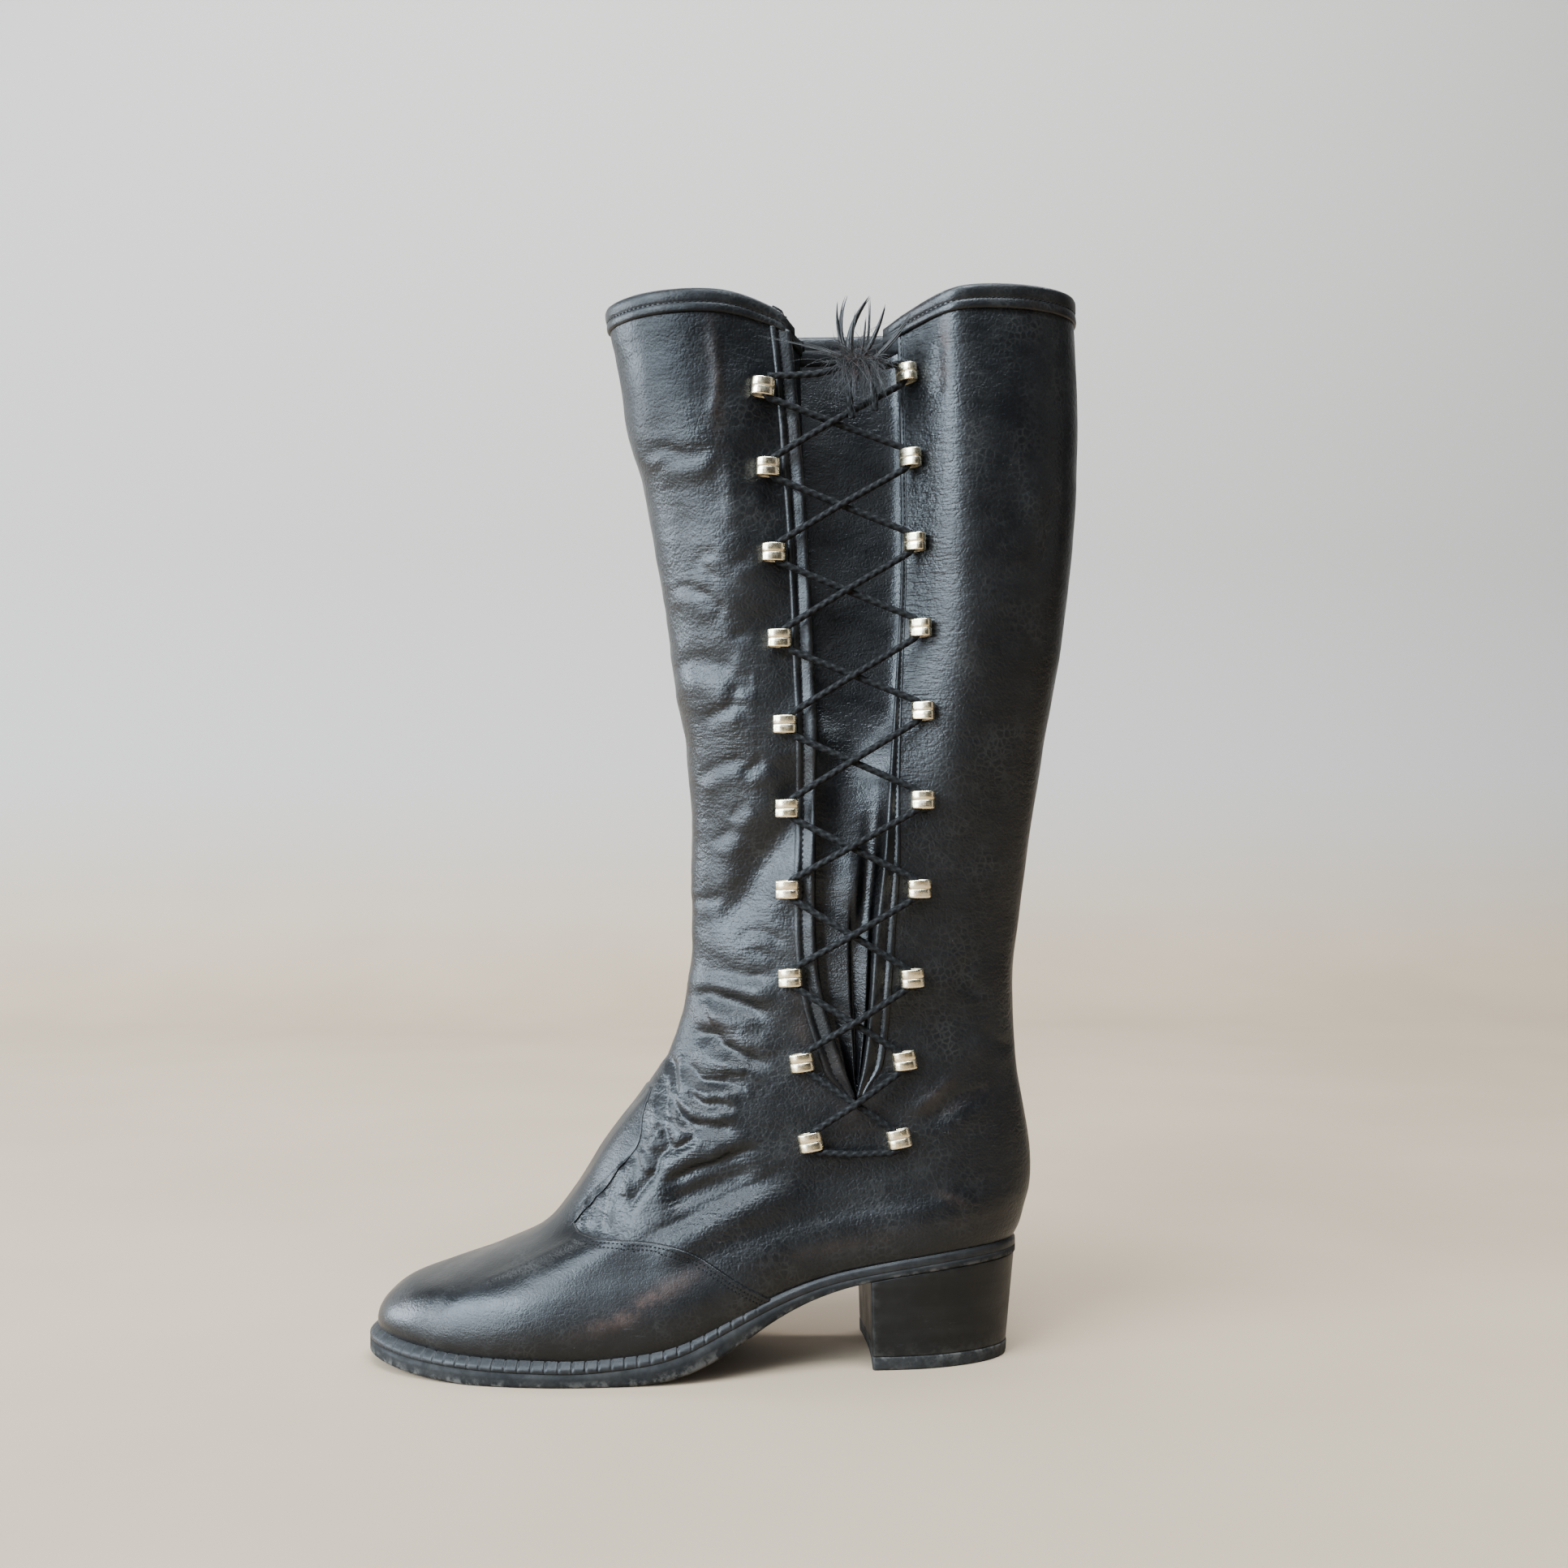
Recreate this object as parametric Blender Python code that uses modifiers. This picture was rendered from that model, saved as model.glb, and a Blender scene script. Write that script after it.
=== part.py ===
"""Left knee boot in black leather, laced up its outer side through metal loops.

Metres, +Z up, toe towards -X, outer side towards -Y, floor at z = 0. Sizes are in millimetres until a mesh is made.
The upper is a stack of closed loops that fan out from the feather line, where it meets the sole, to the collar.
"""

import math

import bmesh
import bpy
import numpy as np
from mathutils import Matrix, Vector

MM = 0.001
GAP = 0.35  # air between two pieces that lie on each other
MIDLINE_Y = 1.7  # centre line of heel and shaft, which centres the whole boot on the origin
WALL = 2.0  # leather of the upper with its lining
VAMP_THICK = 1.0
STRIP = 4.2  # width of the binding beside the lacing slit
COLLAR_BAND = 9.3
WELT_THICK = 2.5
WELT_TUCK = 2.4  # how far the welt reaches in under the upper
NOTCH_PITCH = 5.2
NOTCH_DEPTH = 0.9
NOTCH_END_X = 32.0
HEEL_BREAST_X = 54.5
TOP_LIFT = 5.0
LOOP_WIDE = 9.0
LOOP_DEEP = 6.4
LOOP_TALL = 6.8
LACE_RADIUS = 1.3

# One row per loop of the upper, from the feather line up to the collar.
(
    FRONT_X,
    FRONT_Z,
    BACK_X,
    BACK_Z,
    OUTER,
    INNER,
    WIDEST_X,
    FRONT_POWER,
    BACK_POWER,
    WAIST_OUTER,
    WAIST_INNER,
    FOLLOW,
    DENT,
    DIP,
    SLIT_FRONT,
    SLIT_BACK,
) = range(16)
SECTIONS = np.array(
    [
        [-131.8, 11.8, 113.0, 45.0, 44.0, 41.0, -50, 2.05, 2.40, 7.5, 11.5, 1.00, 0, 0, 49.5, 49.5],
        [-132.3, 17.0, 115.5, 50.0, 45.5, 42.5, -50, 2.10, 2.40, 7.5, 11.0, 0.95, 0, 0, 49.5, 49.5],
        [-129.0, 23.7, 117.5, 57.0, 45.5, 42.5, -50, 2.10, 2.40, 7.0, 10.0, 0.85, 0, 0, 49.5, 49.5],
        [-121.0, 31.2, 119.4, 64.0, 43.5, 41.0, -50, 2.10, 2.45, 6.0, 8.5, 0.70, 0, 0, 49.5, 49.5],
        [-108.5, 36.3, 120.0, 71.0, 40.5, 38.5, -48, 2.10, 2.50, 5.0, 7.0, 0.50, 0, 0, 49.5, 49.5],
        [-90.0, 42.3, 119.6, 79.0, 38.0, 36.5, -38, 2.10, 2.55, 4.0, 5.5, 0.30, 0, 0, 49.5, 49.5],
        [-70.0, 51.0, 118.4, 88.0, 35.5, 34.5, -20, 2.10, 2.60, 3.5, 4.5, 0.15, 0, 0, 49.5, 49.5],
        [-57.0, 65.0, 116.8, 97.0, 33.5, 33.0, -5, 2.10, 2.60, 3.0, 3.5, 0.05, 0, 0, 49.5, 49.5],
        [-45.0, 83.5, 114.9, 108.0, 31.5, 31.5, 10, 2.10, 2.55, 2.5, 3.0, 0.00, 0, 0, 49.5, 49.5],
        [-31.0, 101.5, 113.8, 121.0, 29.5, 29.5, 25, 2.10, 2.50, 2.0, 2.0, 0.00, 0, 0, 45.0, 52.5],
        [-20.5, 117.0, 113.2, 135.0, 28.0, 28.0, 38, 2.15, 2.40, 1.0, 1.0, 0.00, 0, 0, 40.5, 54.5],
        [-15.3, 135.0, 113.3, 146.0, 27.5, 27.5, 46, 2.20, 2.35, 0.0, 0.0, 0.00, 0, 0, 36.5, 55.5],
        [-12.8, 160.0, 115.0, 162.0, 27.5, 28.0, 50, 2.20, 2.30, 0.0, 0.0, 0.00, 0, 0, 34.0, 57.0],
        [-12.5, 195.0, 119.8, 196.0, 29.5, 30.0, 52, 2.20, 2.30, 0.0, 0.0, 0.00, 2, 0, 33.8, 60.8],
        [-15.0, 232.0, 125.5, 233.0, 33.0, 32.5, 53, 2.30, 2.35, 0.0, 0.0, 0.00, 9, 0, 34.3, 63.8],
        [-20.5, 270.0, 132.2, 271.0, 36.5, 35.0, 53, 2.40, 2.45, 0.0, 0.0, 0.00, 17, 0, 33.0, 66.5],
        [-27.0, 312.0, 137.4, 314.0, 39.0, 37.0, 52, 2.50, 2.55, 0.0, 0.0, 0.00, 22, 0, 31.0, 68.2],
        [-34.5, 355.0, 139.4, 357.0, 40.0, 38.5, 50, 2.60, 2.60, 0.0, 0.0, 0.00, 25, 2, 28.0, 67.8],
        [-40.5, 388.0, 138.4, 392.0, 40.0, 39.0, 48, 2.60, 2.60, 0.0, 0.0, 0.00, 27, 8, 25.0, 67.2],
        [-43.0, 404.0, 137.6, 409.5, 40.0, 39.0, 48, 2.60, 2.60, 0.0, 0.0, 0.00, 27, 14, 23.5, 67.0],
    ]
)
TOP = len(SECTIONS) - 1
WAIST_OUTER_X, WAIST_INNER_X, WAIST_SPREAD = 40.0, 22.0, 32.0
DENT_X, DENT_AHEAD = 45.0, 36.0
DENT_EASE, DENT_EASE_X = 0.45, 13.0
# Where the back panel rolls into the dent, halfway down: row of the table above, x.
ROLL = ((0, 76.0), (13, 76.0), (14, 77.5), (15, 78.5), (16, 77.3), (17, 75.6), (18, 74.4), (19, 74.0))

# Height of the feather line and of the tread along the boot: x, z.
FEATHER = ((-139, 12.6), (-110, 9.9), (-75, 8.5), (-45, 8.8), (-17, 13.5), (4, 23), (18, 29.2), (34, 34.7),
           (58, 39.8), (84, 43.3), (118, 45.5))
TREAD = ((-140, 5.2), (-118, 2.0), (-94, 0), (-45, 0), (-30, 0.6), (-17, 2.6), (-5, 7.3), (6, 13.6), (18, 20.8),
         (29, 26.0), (40, 29.8), (57, 33.8), (84, 37.3), (118, 39.6))
# How far welt and outsole stand out past the upper: x, width.
EDGE = ((-140, 4.0), (-60, 3.8), (-20, 3.0), (20, 1.6), (50, 0.9), (118, 0.8))
# Side outline of the vamp, from the sole at the waist up to the instep: x, z.
VAMP_EDGE = ((17.5, 29), (5, 36.5), (-11, 46), (-26, 50.2), (-40, 51), (-50, 51.3), (-54.5, 52.5), (-56.3, 55),
             (-54.8, 58.5), (-41, 74.5), (-32, 84.4), (-30.8, 93), (-27, 103.5))
# Lace loops from the top pair down: x and z in the front column, x and z in the back column.
LOOPS = ((12.9, 368.8, 72.0, 377.0), (15.0, 338.8, 73.2, 344.3), (17.4, 306.9, 74.5, 311.9),
         (20.0, 274.6, 76.1, 279.0), (22.5, 242.2, 76.3, 247.2), (23.8, 210.5, 75.1, 213.6),
         (24.1, 180.0, 73.0, 180.3), (25.1, 146.6, 70.2, 146.5), (28.8, 114.9, 67.4, 115.4), (31.8, 85.5, 65.1, 86.5))
LACE_BOW = (0, 0, 0, 0.5, 2.0, 3.5, 4.0, 4.0, 3.5)  # how far each crossing bends out, from the top
KNOT_X, KNOT_Z = 51.0, 378.0
# Locks of the tassel: direction x, y, z and length.
LOCKS = ((-0.42, -0.10, 0.90, 15), (-0.08, 0.0, 0.99, 18), (0.26, -0.12, 0.95, 20), (0.62, -0.42, 0.66, 26),
         (0.95, -0.25, 0.15, 6), (-0.95, -0.2, 0.1, 7), (-0.6, -0.1, -0.8, 12), (-0.1, -0.2, -0.97, 15),
         (0.5, -0.15, -0.85, 12), (0.1, -0.98, 0.1, 5))

COLOURS = {
    "leather": ((0.012, 0.012, 0.014), 0.38, 0.0),
    "suede": ((0.010, 0.010, 0.011), 0.60, 0.0),
    "board": ((0.42, 0.33, 0.22), 0.70, 0.0),
    "sole": ((0.020, 0.019, 0.019), 0.55, 0.0),
    "heel": ((0.014, 0.013, 0.013), 0.50, 0.0),
    "rubber": ((0.016, 0.016, 0.016), 0.80, 0.0),
    "nickel": ((0.72, 0.68, 0.60), 0.25, 1.0),
    "cord": ((0.015, 0.015, 0.017), 0.70, 0.0),
    "hair": ((0.045, 0.033, 0.027), 0.75, 0.0),
}


def clear_scene():
    for obj in list(bpy.data.objects):
        bpy.data.objects.remove(obj, do_unlink=True)


def collection(name):
    made = bpy.data.collections.new(name)
    bpy.context.scene.collection.children.link(made)
    return made


clear_scene()
BOOT = collection("side_laced_boot")
CUTTERS = collection("cutters")


def material(name, kind):
    colour, roughness, metallic = COLOURS[kind]
    made = bpy.data.materials.new(name)
    made.use_nodes = True
    shader = made.node_tree.nodes["Principled BSDF"]
    shader.inputs["Base Color"].default_value = (*colour, 1.0)
    shader.inputs["Roughness"].default_value = roughness
    shader.inputs["Metallic"].default_value = metallic
    return made


def add_object(name, points, faces, kind):
    """A mesh object from points in millimetres, as a piece of the boot."""
    mesh = bpy.data.meshes.new(name)
    mesh.from_pydata((np.asarray(points, float).reshape(-1, 3) * MM).tolist(), [], faces)
    mesh.update()
    obj = bpy.data.objects.new(name, mesh)
    obj.data.materials.append(material(name, kind))
    BOOT.objects.link(obj)
    return obj


def to_cutters(obj):
    BOOT.objects.unlink(obj)
    CUTTERS.objects.link(obj)
    obj.hide_render = True
    obj.display_type = "WIRE"


def clean(obj, weld=0.0):
    """Weld points that coincide, or turn a closed solid's faces outward."""
    bm = bmesh.new()
    bm.from_mesh(obj.data)
    if weld:
        bmesh.ops.remove_doubles(bm, verts=bm.verts, dist=weld * MM)
    else:
        bmesh.ops.recalc_face_normals(bm, faces=bm.faces)
    bm.to_mesh(obj.data)
    bm.free()


def smooth(table, x):
    """A curve through a short table of x and y, with each knot's slope taken from its neighbours."""
    kx, ky = np.array(table, float).T
    return spline(kx, ky, x)


def spline(kx, ky, x):
    slope = np.gradient(ky, kx, axis=0)
    i = np.clip(np.searchsorted(kx, x) - 1, 0, len(kx) - 2)
    h = kx[i + 1] - kx[i]
    t = (x - kx[i]) / h
    return (
        ky[i] * (2 * t**3 - 3 * t**2 + 1)
        + ky[i + 1] * (3 * t**2 - 2 * t**3)
        + slope[i] * h * (t**3 - 2 * t**2 + t)
        + slope[i + 1] * h * (t**3 - t**2)
    )


def section(v):
    """The table's row at height v, a row number with fractions; the slit's edges never cross."""
    rows = np.arange(len(SECTIONS))
    sec = np.array([float(spline(rows, SECTIONS[:, k], v)) for k in range(SECTIONS.shape[1])])
    middle, half = (sec[SLIT_FRONT] + sec[SLIT_BACK]) / 2, (sec[SLIT_BACK] - sec[SLIT_FRONT]) / 2
    half = max(half, 0.0) if v > 8 else 0.0
    sec[SLIT_FRONT], sec[SLIT_BACK] = middle - half, middle + half
    return sec


def loop_points(v, angle):
    """Points of the loop at height v. Angle 0 is the back, a quarter turn the outer side, a half turn the front.

    Each half is a superellipse about the widest place. The outer side is pressed in where the lacing is.
    """
    sec = section(v)
    c, s = np.cos(angle), np.sin(angle)
    back = c >= 0
    power = np.where(back, sec[BACK_POWER], sec[FRONT_POWER])
    reach = np.where(back, sec[BACK_X] - sec[WIDEST_X], sec[FRONT_X] - sec[WIDEST_X])
    x = sec[WIDEST_X] + reach * np.abs(c) ** (2 / power)
    wide = np.abs(s) ** (2 / power)
    off = x - DENT_X
    share = np.clip(-off / DENT_EASE_X, 0, 1)
    ahead = np.exp(-np.abs(off / DENT_AHEAD) ** 3) * (1 - DENT_EASE * share * share * (3 - 2 * share))
    behind = 0.5 ** (np.abs(off / (smooth(ROLL, v) - DENT_X)) ** 8)
    dent = np.where(off < 0, ahead, behind)
    waist_outer = sec[WAIST_OUTER] * np.exp(-(((x - WAIST_OUTER_X) / WAIST_SPREAD) ** 2))
    waist_inner = sec[WAIST_INNER] * np.exp(-(((x - WAIST_INNER_X) / WAIST_SPREAD) ** 2))
    outer = -wide * (sec[OUTER] - waist_outer - sec[DENT] * dent)
    inner = wide * (sec[INNER] - waist_inner)
    along = (x - sec[FRONT_X]) / (sec[BACK_X] - sec[FRONT_X])
    z = sec[FRONT_Z] + (sec[BACK_Z] - sec[FRONT_Z]) * along
    low = SECTIONS[0]
    chord = low[FRONT_Z] + (low[BACK_Z] - low[FRONT_Z]) * (x - low[FRONT_X]) / (low[BACK_X] - low[FRONT_X])
    z = z + sec[FOLLOW] * (smooth(FEATHER, x) - chord)
    z = z - sec[DIP] * np.where(s > 0, wide, 0) * np.exp(-(((x - DENT_X) / 30) ** 2))
    return np.stack([x, MIDLINE_Y + np.where(s >= 0, outer, inner), z], axis=-1)


def outer_angle(v, x):
    """The angle on the outer side where the loop at height v has that x."""
    sec = section(v)
    if x >= sec[WIDEST_X]:
        share = (x - sec[WIDEST_X]) / (sec[BACK_X] - sec[WIDEST_X])
        return math.acos(min(share, 1.0) ** (sec[BACK_POWER] / 2))
    share = (sec[WIDEST_X] - x) / (sec[WIDEST_X] - sec[FRONT_X])
    return math.pi - math.acos(min(share, 1.0) ** (sec[FRONT_POWER] / 2))


def strip_widths(v):
    """Width in x of the binding ahead of and behind the slit, narrower where the panel turns in."""
    dent = section(v)[DENT] / 26
    return STRIP, STRIP / (1 + 4.0 * dent)


def column_angles(v, count):
    """Angles of the mesh columns at height v, from the slit's front edge round the boot to its back edge."""
    sec = section(v)
    ahead, behind = strip_widths(v)
    first = outer_angle(v, sec[SLIT_FRONT])
    last = outer_angle(v, sec[SLIT_BACK]) + 2 * math.pi
    second = outer_angle(v, sec[SLIT_FRONT] - ahead)
    turn = [outer_angle(v, sec[SLIT_BACK] + behind + x) + 2 * math.pi for x in ROLL_STEPS]
    u = np.linspace(0, 1, count - 1 - len(turn))
    q = u - 0.6 * np.sin(2 * math.pi * u) / (2 * math.pi)
    return np.concatenate([[first], second + (turn[0] - second) * q, turn[1:], [last]])


def surface(heights, count):
    """Points and outward normals of the upper's outer face on a grid: one row per height."""
    points = np.array([loop_points(v, column_angles(v, count)) for v in heights])
    across, up = np.gradient(points, axis=1), np.gradient(points, axis=0)
    normal = np.cross(up, across)
    return points, normal / np.linalg.norm(normal, axis=2, keepdims=True)


def at(v, x, lift=0.0):
    """A point of the outer side, with its normal, its direction up the boot and the direction towards the heel."""
    angle = outer_angle(v, x)
    here = loop_points(v, np.array([angle]))[0]
    side = loop_points(v, np.array([angle + 0.01]))[0] - loop_points(v, np.array([angle - 0.01]))[0]
    above = loop_points(v + 0.02, np.array([outer_angle(v + 0.02, x)]))[0]
    below = loop_points(v - 0.02, np.array([outer_angle(v - 0.02, x)]))[0]
    side, up = side / np.linalg.norm(side), (above - below) / np.linalg.norm(above - below)
    normal = np.cross(up, side)
    normal = normal / np.linalg.norm(normal)
    return here + lift * normal, normal, up, -side


def height_row(x, z):
    """The row number v whose loop passes the outer side at x and z."""
    low, high = 0.0, float(TOP)
    for _ in range(40):
        middle = (low + high) / 2
        if loop_points(middle, np.array([outer_angle(middle, x)]))[0][2] < z:
            low = middle
        else:
            high = middle
    return (low + high) / 2


def sheet(name, points, kind):
    """A grid of quads; the two ends of a row are joined where they meet."""
    rows, cols = points.shape[:2]
    faces = [
        (r * cols + c, (r + 1) * cols + c, (r + 1) * cols + c + 1, r * cols + c + 1)
        for r in range(rows - 1)
        for c in range(cols - 1)
    ]
    obj = add_object(name, points, faces, kind)
    clean(obj, weld=0.01)
    return obj


def solidify(obj, thick, offset):
    made = obj.modifiers.new("thickness", "SOLIDIFY")
    made.thickness = thick * MM
    made.offset = offset
    made.use_even_offset = True
    return made


def loft(name, rings, kind, closed=False):
    """A solid through rings of points, capped at its two ends unless the path closes on itself."""
    rings = np.asarray(rings, float)
    count, size = rings.shape[:2]
    faces = []
    for r in range(count if closed else count - 1):
        nxt = (r + 1) % count
        for k in range(size):
            m = (k + 1) % size
            faces.append((r * size + k, r * size + m, nxt * size + m, nxt * size + k))
    if not closed:
        faces.append(tuple(range(size)))
        faces.append(tuple((count - 1) * size + k for k in reversed(range(size))))
    obj = add_object(name, rings, faces, kind)
    clean(obj)
    return obj


def tube(name, path, radius, kind, sides=6):
    """A round bar along a path of points."""
    path = np.asarray(path, float)
    rings = []
    for i, p in enumerate(path):
        d = path[min(i + 1, len(path) - 1)] - path[max(i - 1, 0)]
        d = d / np.linalg.norm(d)
        a = np.cross(d, (0.0, 1.0, 0.0))
        a = a / np.linalg.norm(a)
        b = np.cross(d, a)
        turn = np.linspace(0, 2 * math.pi, sides, endpoint=False)
        rings.append(p + radius * (np.cos(turn)[:, None] * a + np.sin(turn)[:, None] * b))
    return loft(name, rings, kind)


def boolean(obj, other, operation):
    made = obj.modifiers.new(operation.lower(), "BOOLEAN")
    made.operation = operation
    made.object = other
    made.solver = "EXACT"
    to_cutters(other)


# The upper, and the pieces cut from its own surface

HEIGHTS = np.concatenate([[0.1], np.arange(0.5, 5, 0.5), np.linspace(5, 11, 10), np.linspace(11, TOP, 10)[1:]])
COLUMNS = 42
ROLL_STEPS = (13.0, 10.5, 8.5, 6.8, 5.1, 3.4, 1.7, 0.0)  # columns in the rolled back panel


def make_upper():
    points, _ = surface(HEIGHTS, COLUMNS)
    solidify(sheet("upper", points, "leather"), WALL, -1)


def make_vamp():
    """The front of the foot: a second skin on the upper, cut to its side outline by a prism."""
    rows = int(np.searchsorted(HEIGHTS, 9.6)) + 1
    points, normal = surface(HEIGHTS, COLUMNS)
    lift = surface(np.array([0.0, 0.16, 0.5]), COLUMNS)[0][1]
    skin = points + GAP * normal
    skin[0] = lift + GAP * normal[1]
    obj = sheet("vamp", skin[:rows, 2:28], "leather")
    solidify(obj, VAMP_THICK, 1)
    edge = list(VAMP_EDGE) + [(-60, 125), (-160, 80), (-160, 2), (17.5, 2)]
    ring = np.array([(x, 0.0, z) for x, z in edge])
    rings = [ring + (0, -70, 0), ring + (0, 70, 0)]
    boolean(obj, loft("vamp_outline", rings, "leather"), "INTERSECT")


def make_collar_binding():
    """A folded band over the collar, from one edge of the slit round to the other."""
    low, inside = TOP - COLLAR_BAND / 16.5, TOP - 6.5 / 16.5
    points, normal = surface(np.array([inside, low, TOP]), COLUMNS)
    normal = normal[2]
    up = np.array([0.0, 0.0, 1.0])
    over = GAP + 0.9
    rings = np.stack(
        [
            points[1] + GAP * normal,
            points[1] + over * normal,
            points[2] + over * normal + 1.2 * up,
            points[2] - (WALL + over) * normal + 1.2 * up,
            points[0] - (WALL + over) * normal,
            points[0] - (WALL + GAP) * normal,
            points[2] - (WALL + GAP) * normal + GAP * up,
            points[2] + GAP * normal + GAP * up,
        ],
        axis=1,
    )
    loft("collar_binding", rings, "leather")


def make_slit_binding(name, front):
    """A folded strip over one edge of the lacing slit, up to the collar's band."""
    heights = np.concatenate([[9.15], HEIGHTS[(HEIGHTS > 9.2) & (HEIGHTS < 18)], [TOP - (COLLAR_BAND + 0.8) / 16.5]])
    points, normal = surface(heights, COLUMNS)
    edge, inner = (points[:, 0], points[:, 1]) if front else (points[:, -1], points[:, -2])
    n_edge, n_in = (normal[:, 0], normal[:, 1]) if front else (normal[:, -1], normal[:, -2])
    out = edge - inner
    out = out / np.linalg.norm(out, axis=1, keepdims=True)
    over = GAP + 0.7
    deep = edge + (inner - edge) * 0.8
    rings = np.stack(
        [
            inner + GAP * n_in,
            inner + over * n_in,
            edge + over * n_edge + over * out,
            edge - (WALL + over) * n_edge + over * out,
            deep - (WALL + over) * n_edge,
            deep - (WALL + GAP) * n_edge,
            edge - (WALL + GAP) * n_edge + GAP * out,
            edge + GAP * n_edge + GAP * out,
        ],
        axis=1,
    )
    loft(name, rings, "leather")


def gusset_surface(heights, across, reach_under):
    """Outer face of the gusset: it hangs behind the slit and sinks in at its middle."""
    rows = []
    for v in heights:
        sec = section(v)
        ahead = sec[SLIT_FRONT] - reach_under
        behind = sec[SLIT_BACK] + reach_under / (1 + 3.2 * sec[DENT] / 26)
        sink = 1.5 + 0.33 * sec[DENT]
        row = []
        for s in across:
            lift = -(WALL + 2.3 + sink * math.sin(math.pi * s) ** 2)
            row.append(at(v, ahead + (behind - ahead) * s, lift)[0])
        rows.append(row)
    return np.array(rows)


GUSSET_HEIGHTS = np.concatenate([[8.4], np.linspace(9, 18.88, 13)])


def make_gusset():
    points = gusset_surface(GUSSET_HEIGHTS, np.linspace(1, 0, 9), 9.0)
    solidify(sheet("gusset", points, "suede"), 1.3, -1)


def make_gusset_binding():
    """A folded band over the gusset's top edge, in the open width of the slit."""
    low, top = GUSSET_HEIGHTS[-1] - 0.42, GUSSET_HEIGHTS[-1]
    points = gusset_surface(np.array([low, top]), np.linspace(0.75, 0.25, 5), 9.0)
    across = np.gradient(points[1], axis=0)
    normal = np.cross(across, (0.0, 0.0, 1.0))
    normal = normal / np.linalg.norm(normal, axis=1, keepdims=True)
    normal = normal * np.sign(-normal[:, 1:2])
    up = np.array([0.0, 0.0, 1.0])
    over, thick = GAP + 0.7, 1.3
    rings = np.stack(
        [
            points[0] + GAP * normal,
            points[0] + over * normal,
            points[1] + over * normal + 1.0 * up,
            points[1] - (thick + over) * normal + 1.0 * up,
            points[0] - (thick + over) * normal,
            points[0] - (thick + GAP) * normal,
            points[1] - (thick + GAP) * normal + GAP * up,
            points[1] + GAP * normal + GAP * up,
        ],
        axis=1,
    )
    loft("gusset_binding", rings, "leather")


# The sole

def plan(angle, offset):
    """Plan outline of the feather line, moved outward by offset."""
    p = loop_points(0.0, angle)
    a, b = loop_points(0.0, angle - 0.004), loop_points(0.0, angle + 0.004)
    d = (b - a)[:, :2]
    normal = np.stack([-d[:, 1], d[:, 0]], axis=1)
    normal = normal / np.linalg.norm(normal, axis=1, keepdims=True)
    return p[:, :2] + normal * np.reshape(offset, (-1, 1))


def edge_width(angle):
    return smooth(EDGE, loop_points(0.0, angle)[:, 0])


def stations(first, last, count):
    """Paired points of the outline from toe to heel: angles on the outer side, evenly spread."""
    return np.linspace(math.pi - first, last, count)


def plate(name, angle, inset, top, bottom, kind):
    """A plate under or in the boot: outline at angle on both sides, heights as functions of x."""
    out = plan(angle, edge_width(angle) - inset)
    inn = plan(2 * math.pi - angle, edge_width(angle) - inset)
    rings = [
        [
            (o[0], o[1], float(top(o[0]))),
            (o[0], o[1], float(bottom(o[0]))),
            (i[0], i[1], float(bottom(i[0]))),
            (i[0], i[1], float(top(i[0]))),
        ]
        for o, i in zip(out, inn)
    ]
    return loft(name, rings, kind)


def welt_top(x):
    return smooth(FEATHER, x) - 2 * GAP


def tread(x):
    return np.maximum(smooth(TREAD, x), 0.0)


def make_outsole():
    plate("outsole", stations(0.05, 0.06, 46), 0.0, lambda x: welt_top(x) - WELT_THICK - GAP, tread, "sole")


def make_insole():
    angle = stations(0.10, 0.12, 34)
    plate("insole", angle, edge_width(angle) + WALL + 1.2, lambda x: welt_top(x) + 1.6,
          lambda x: welt_top(x) - WELT_THICK, "board")


def make_welt():
    """A strip right round the sole's edge, notched from waist to waist round the toe."""
    fine = np.linspace(0, 2 * math.pi, 2000)
    line = plan(fine, edge_width(fine))
    along = np.concatenate([[0], np.cumsum(np.linalg.norm(np.diff(line, axis=0), axis=1))])
    notched = np.where(line[:, 0] < NOTCH_END_X)[0]
    start, end = along[notched[0]], along[notched[-1]]
    count = 2 * int(round((end - start) / NOTCH_PITCH)) + 1
    teeth = np.linspace(start, end, count)
    plain = np.concatenate([np.linspace(0, start, 13)[:-1], teeth, np.linspace(end, along[-1], 13)[1:-1]])
    low = np.isin(plain, teeth[1::2])
    angle = np.interp(plain, along, fine)
    outer, inner = plan(angle, edge_width(angle)), plan(angle, np.full(len(angle), -WELT_TUCK))
    top_out = welt_top(outer[:, 0]) - NOTCH_DEPTH * low
    rings = np.stack(
        [
            np.column_stack([outer, top_out]),
            np.column_stack([outer, welt_top(outer[:, 0]) - WELT_THICK]),
            np.column_stack([inner, welt_top(inner[:, 0]) - WELT_THICK]),
            np.column_stack([inner, welt_top(inner[:, 0])]),
        ],
        axis=1,
    )
    loft("welt", rings, "sole", closed=True)


def heel_outline(angle, shrink):
    """Heel plan, drawn in towards its middle by shrink."""
    both = []
    for a in (angle, 2 * math.pi - angle):
        p = plan(a, edge_width(a))
        p[:, 0] = HEEL_BREAST_X + (p[:, 0] - HEEL_BREAST_X) * (1 - shrink) + shrink * 12
        p[:, 1] = MIDLINE_Y + (p[:, 1] - MIDLINE_Y) * (1 - shrink)
        both.append(p)
    return both


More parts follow.
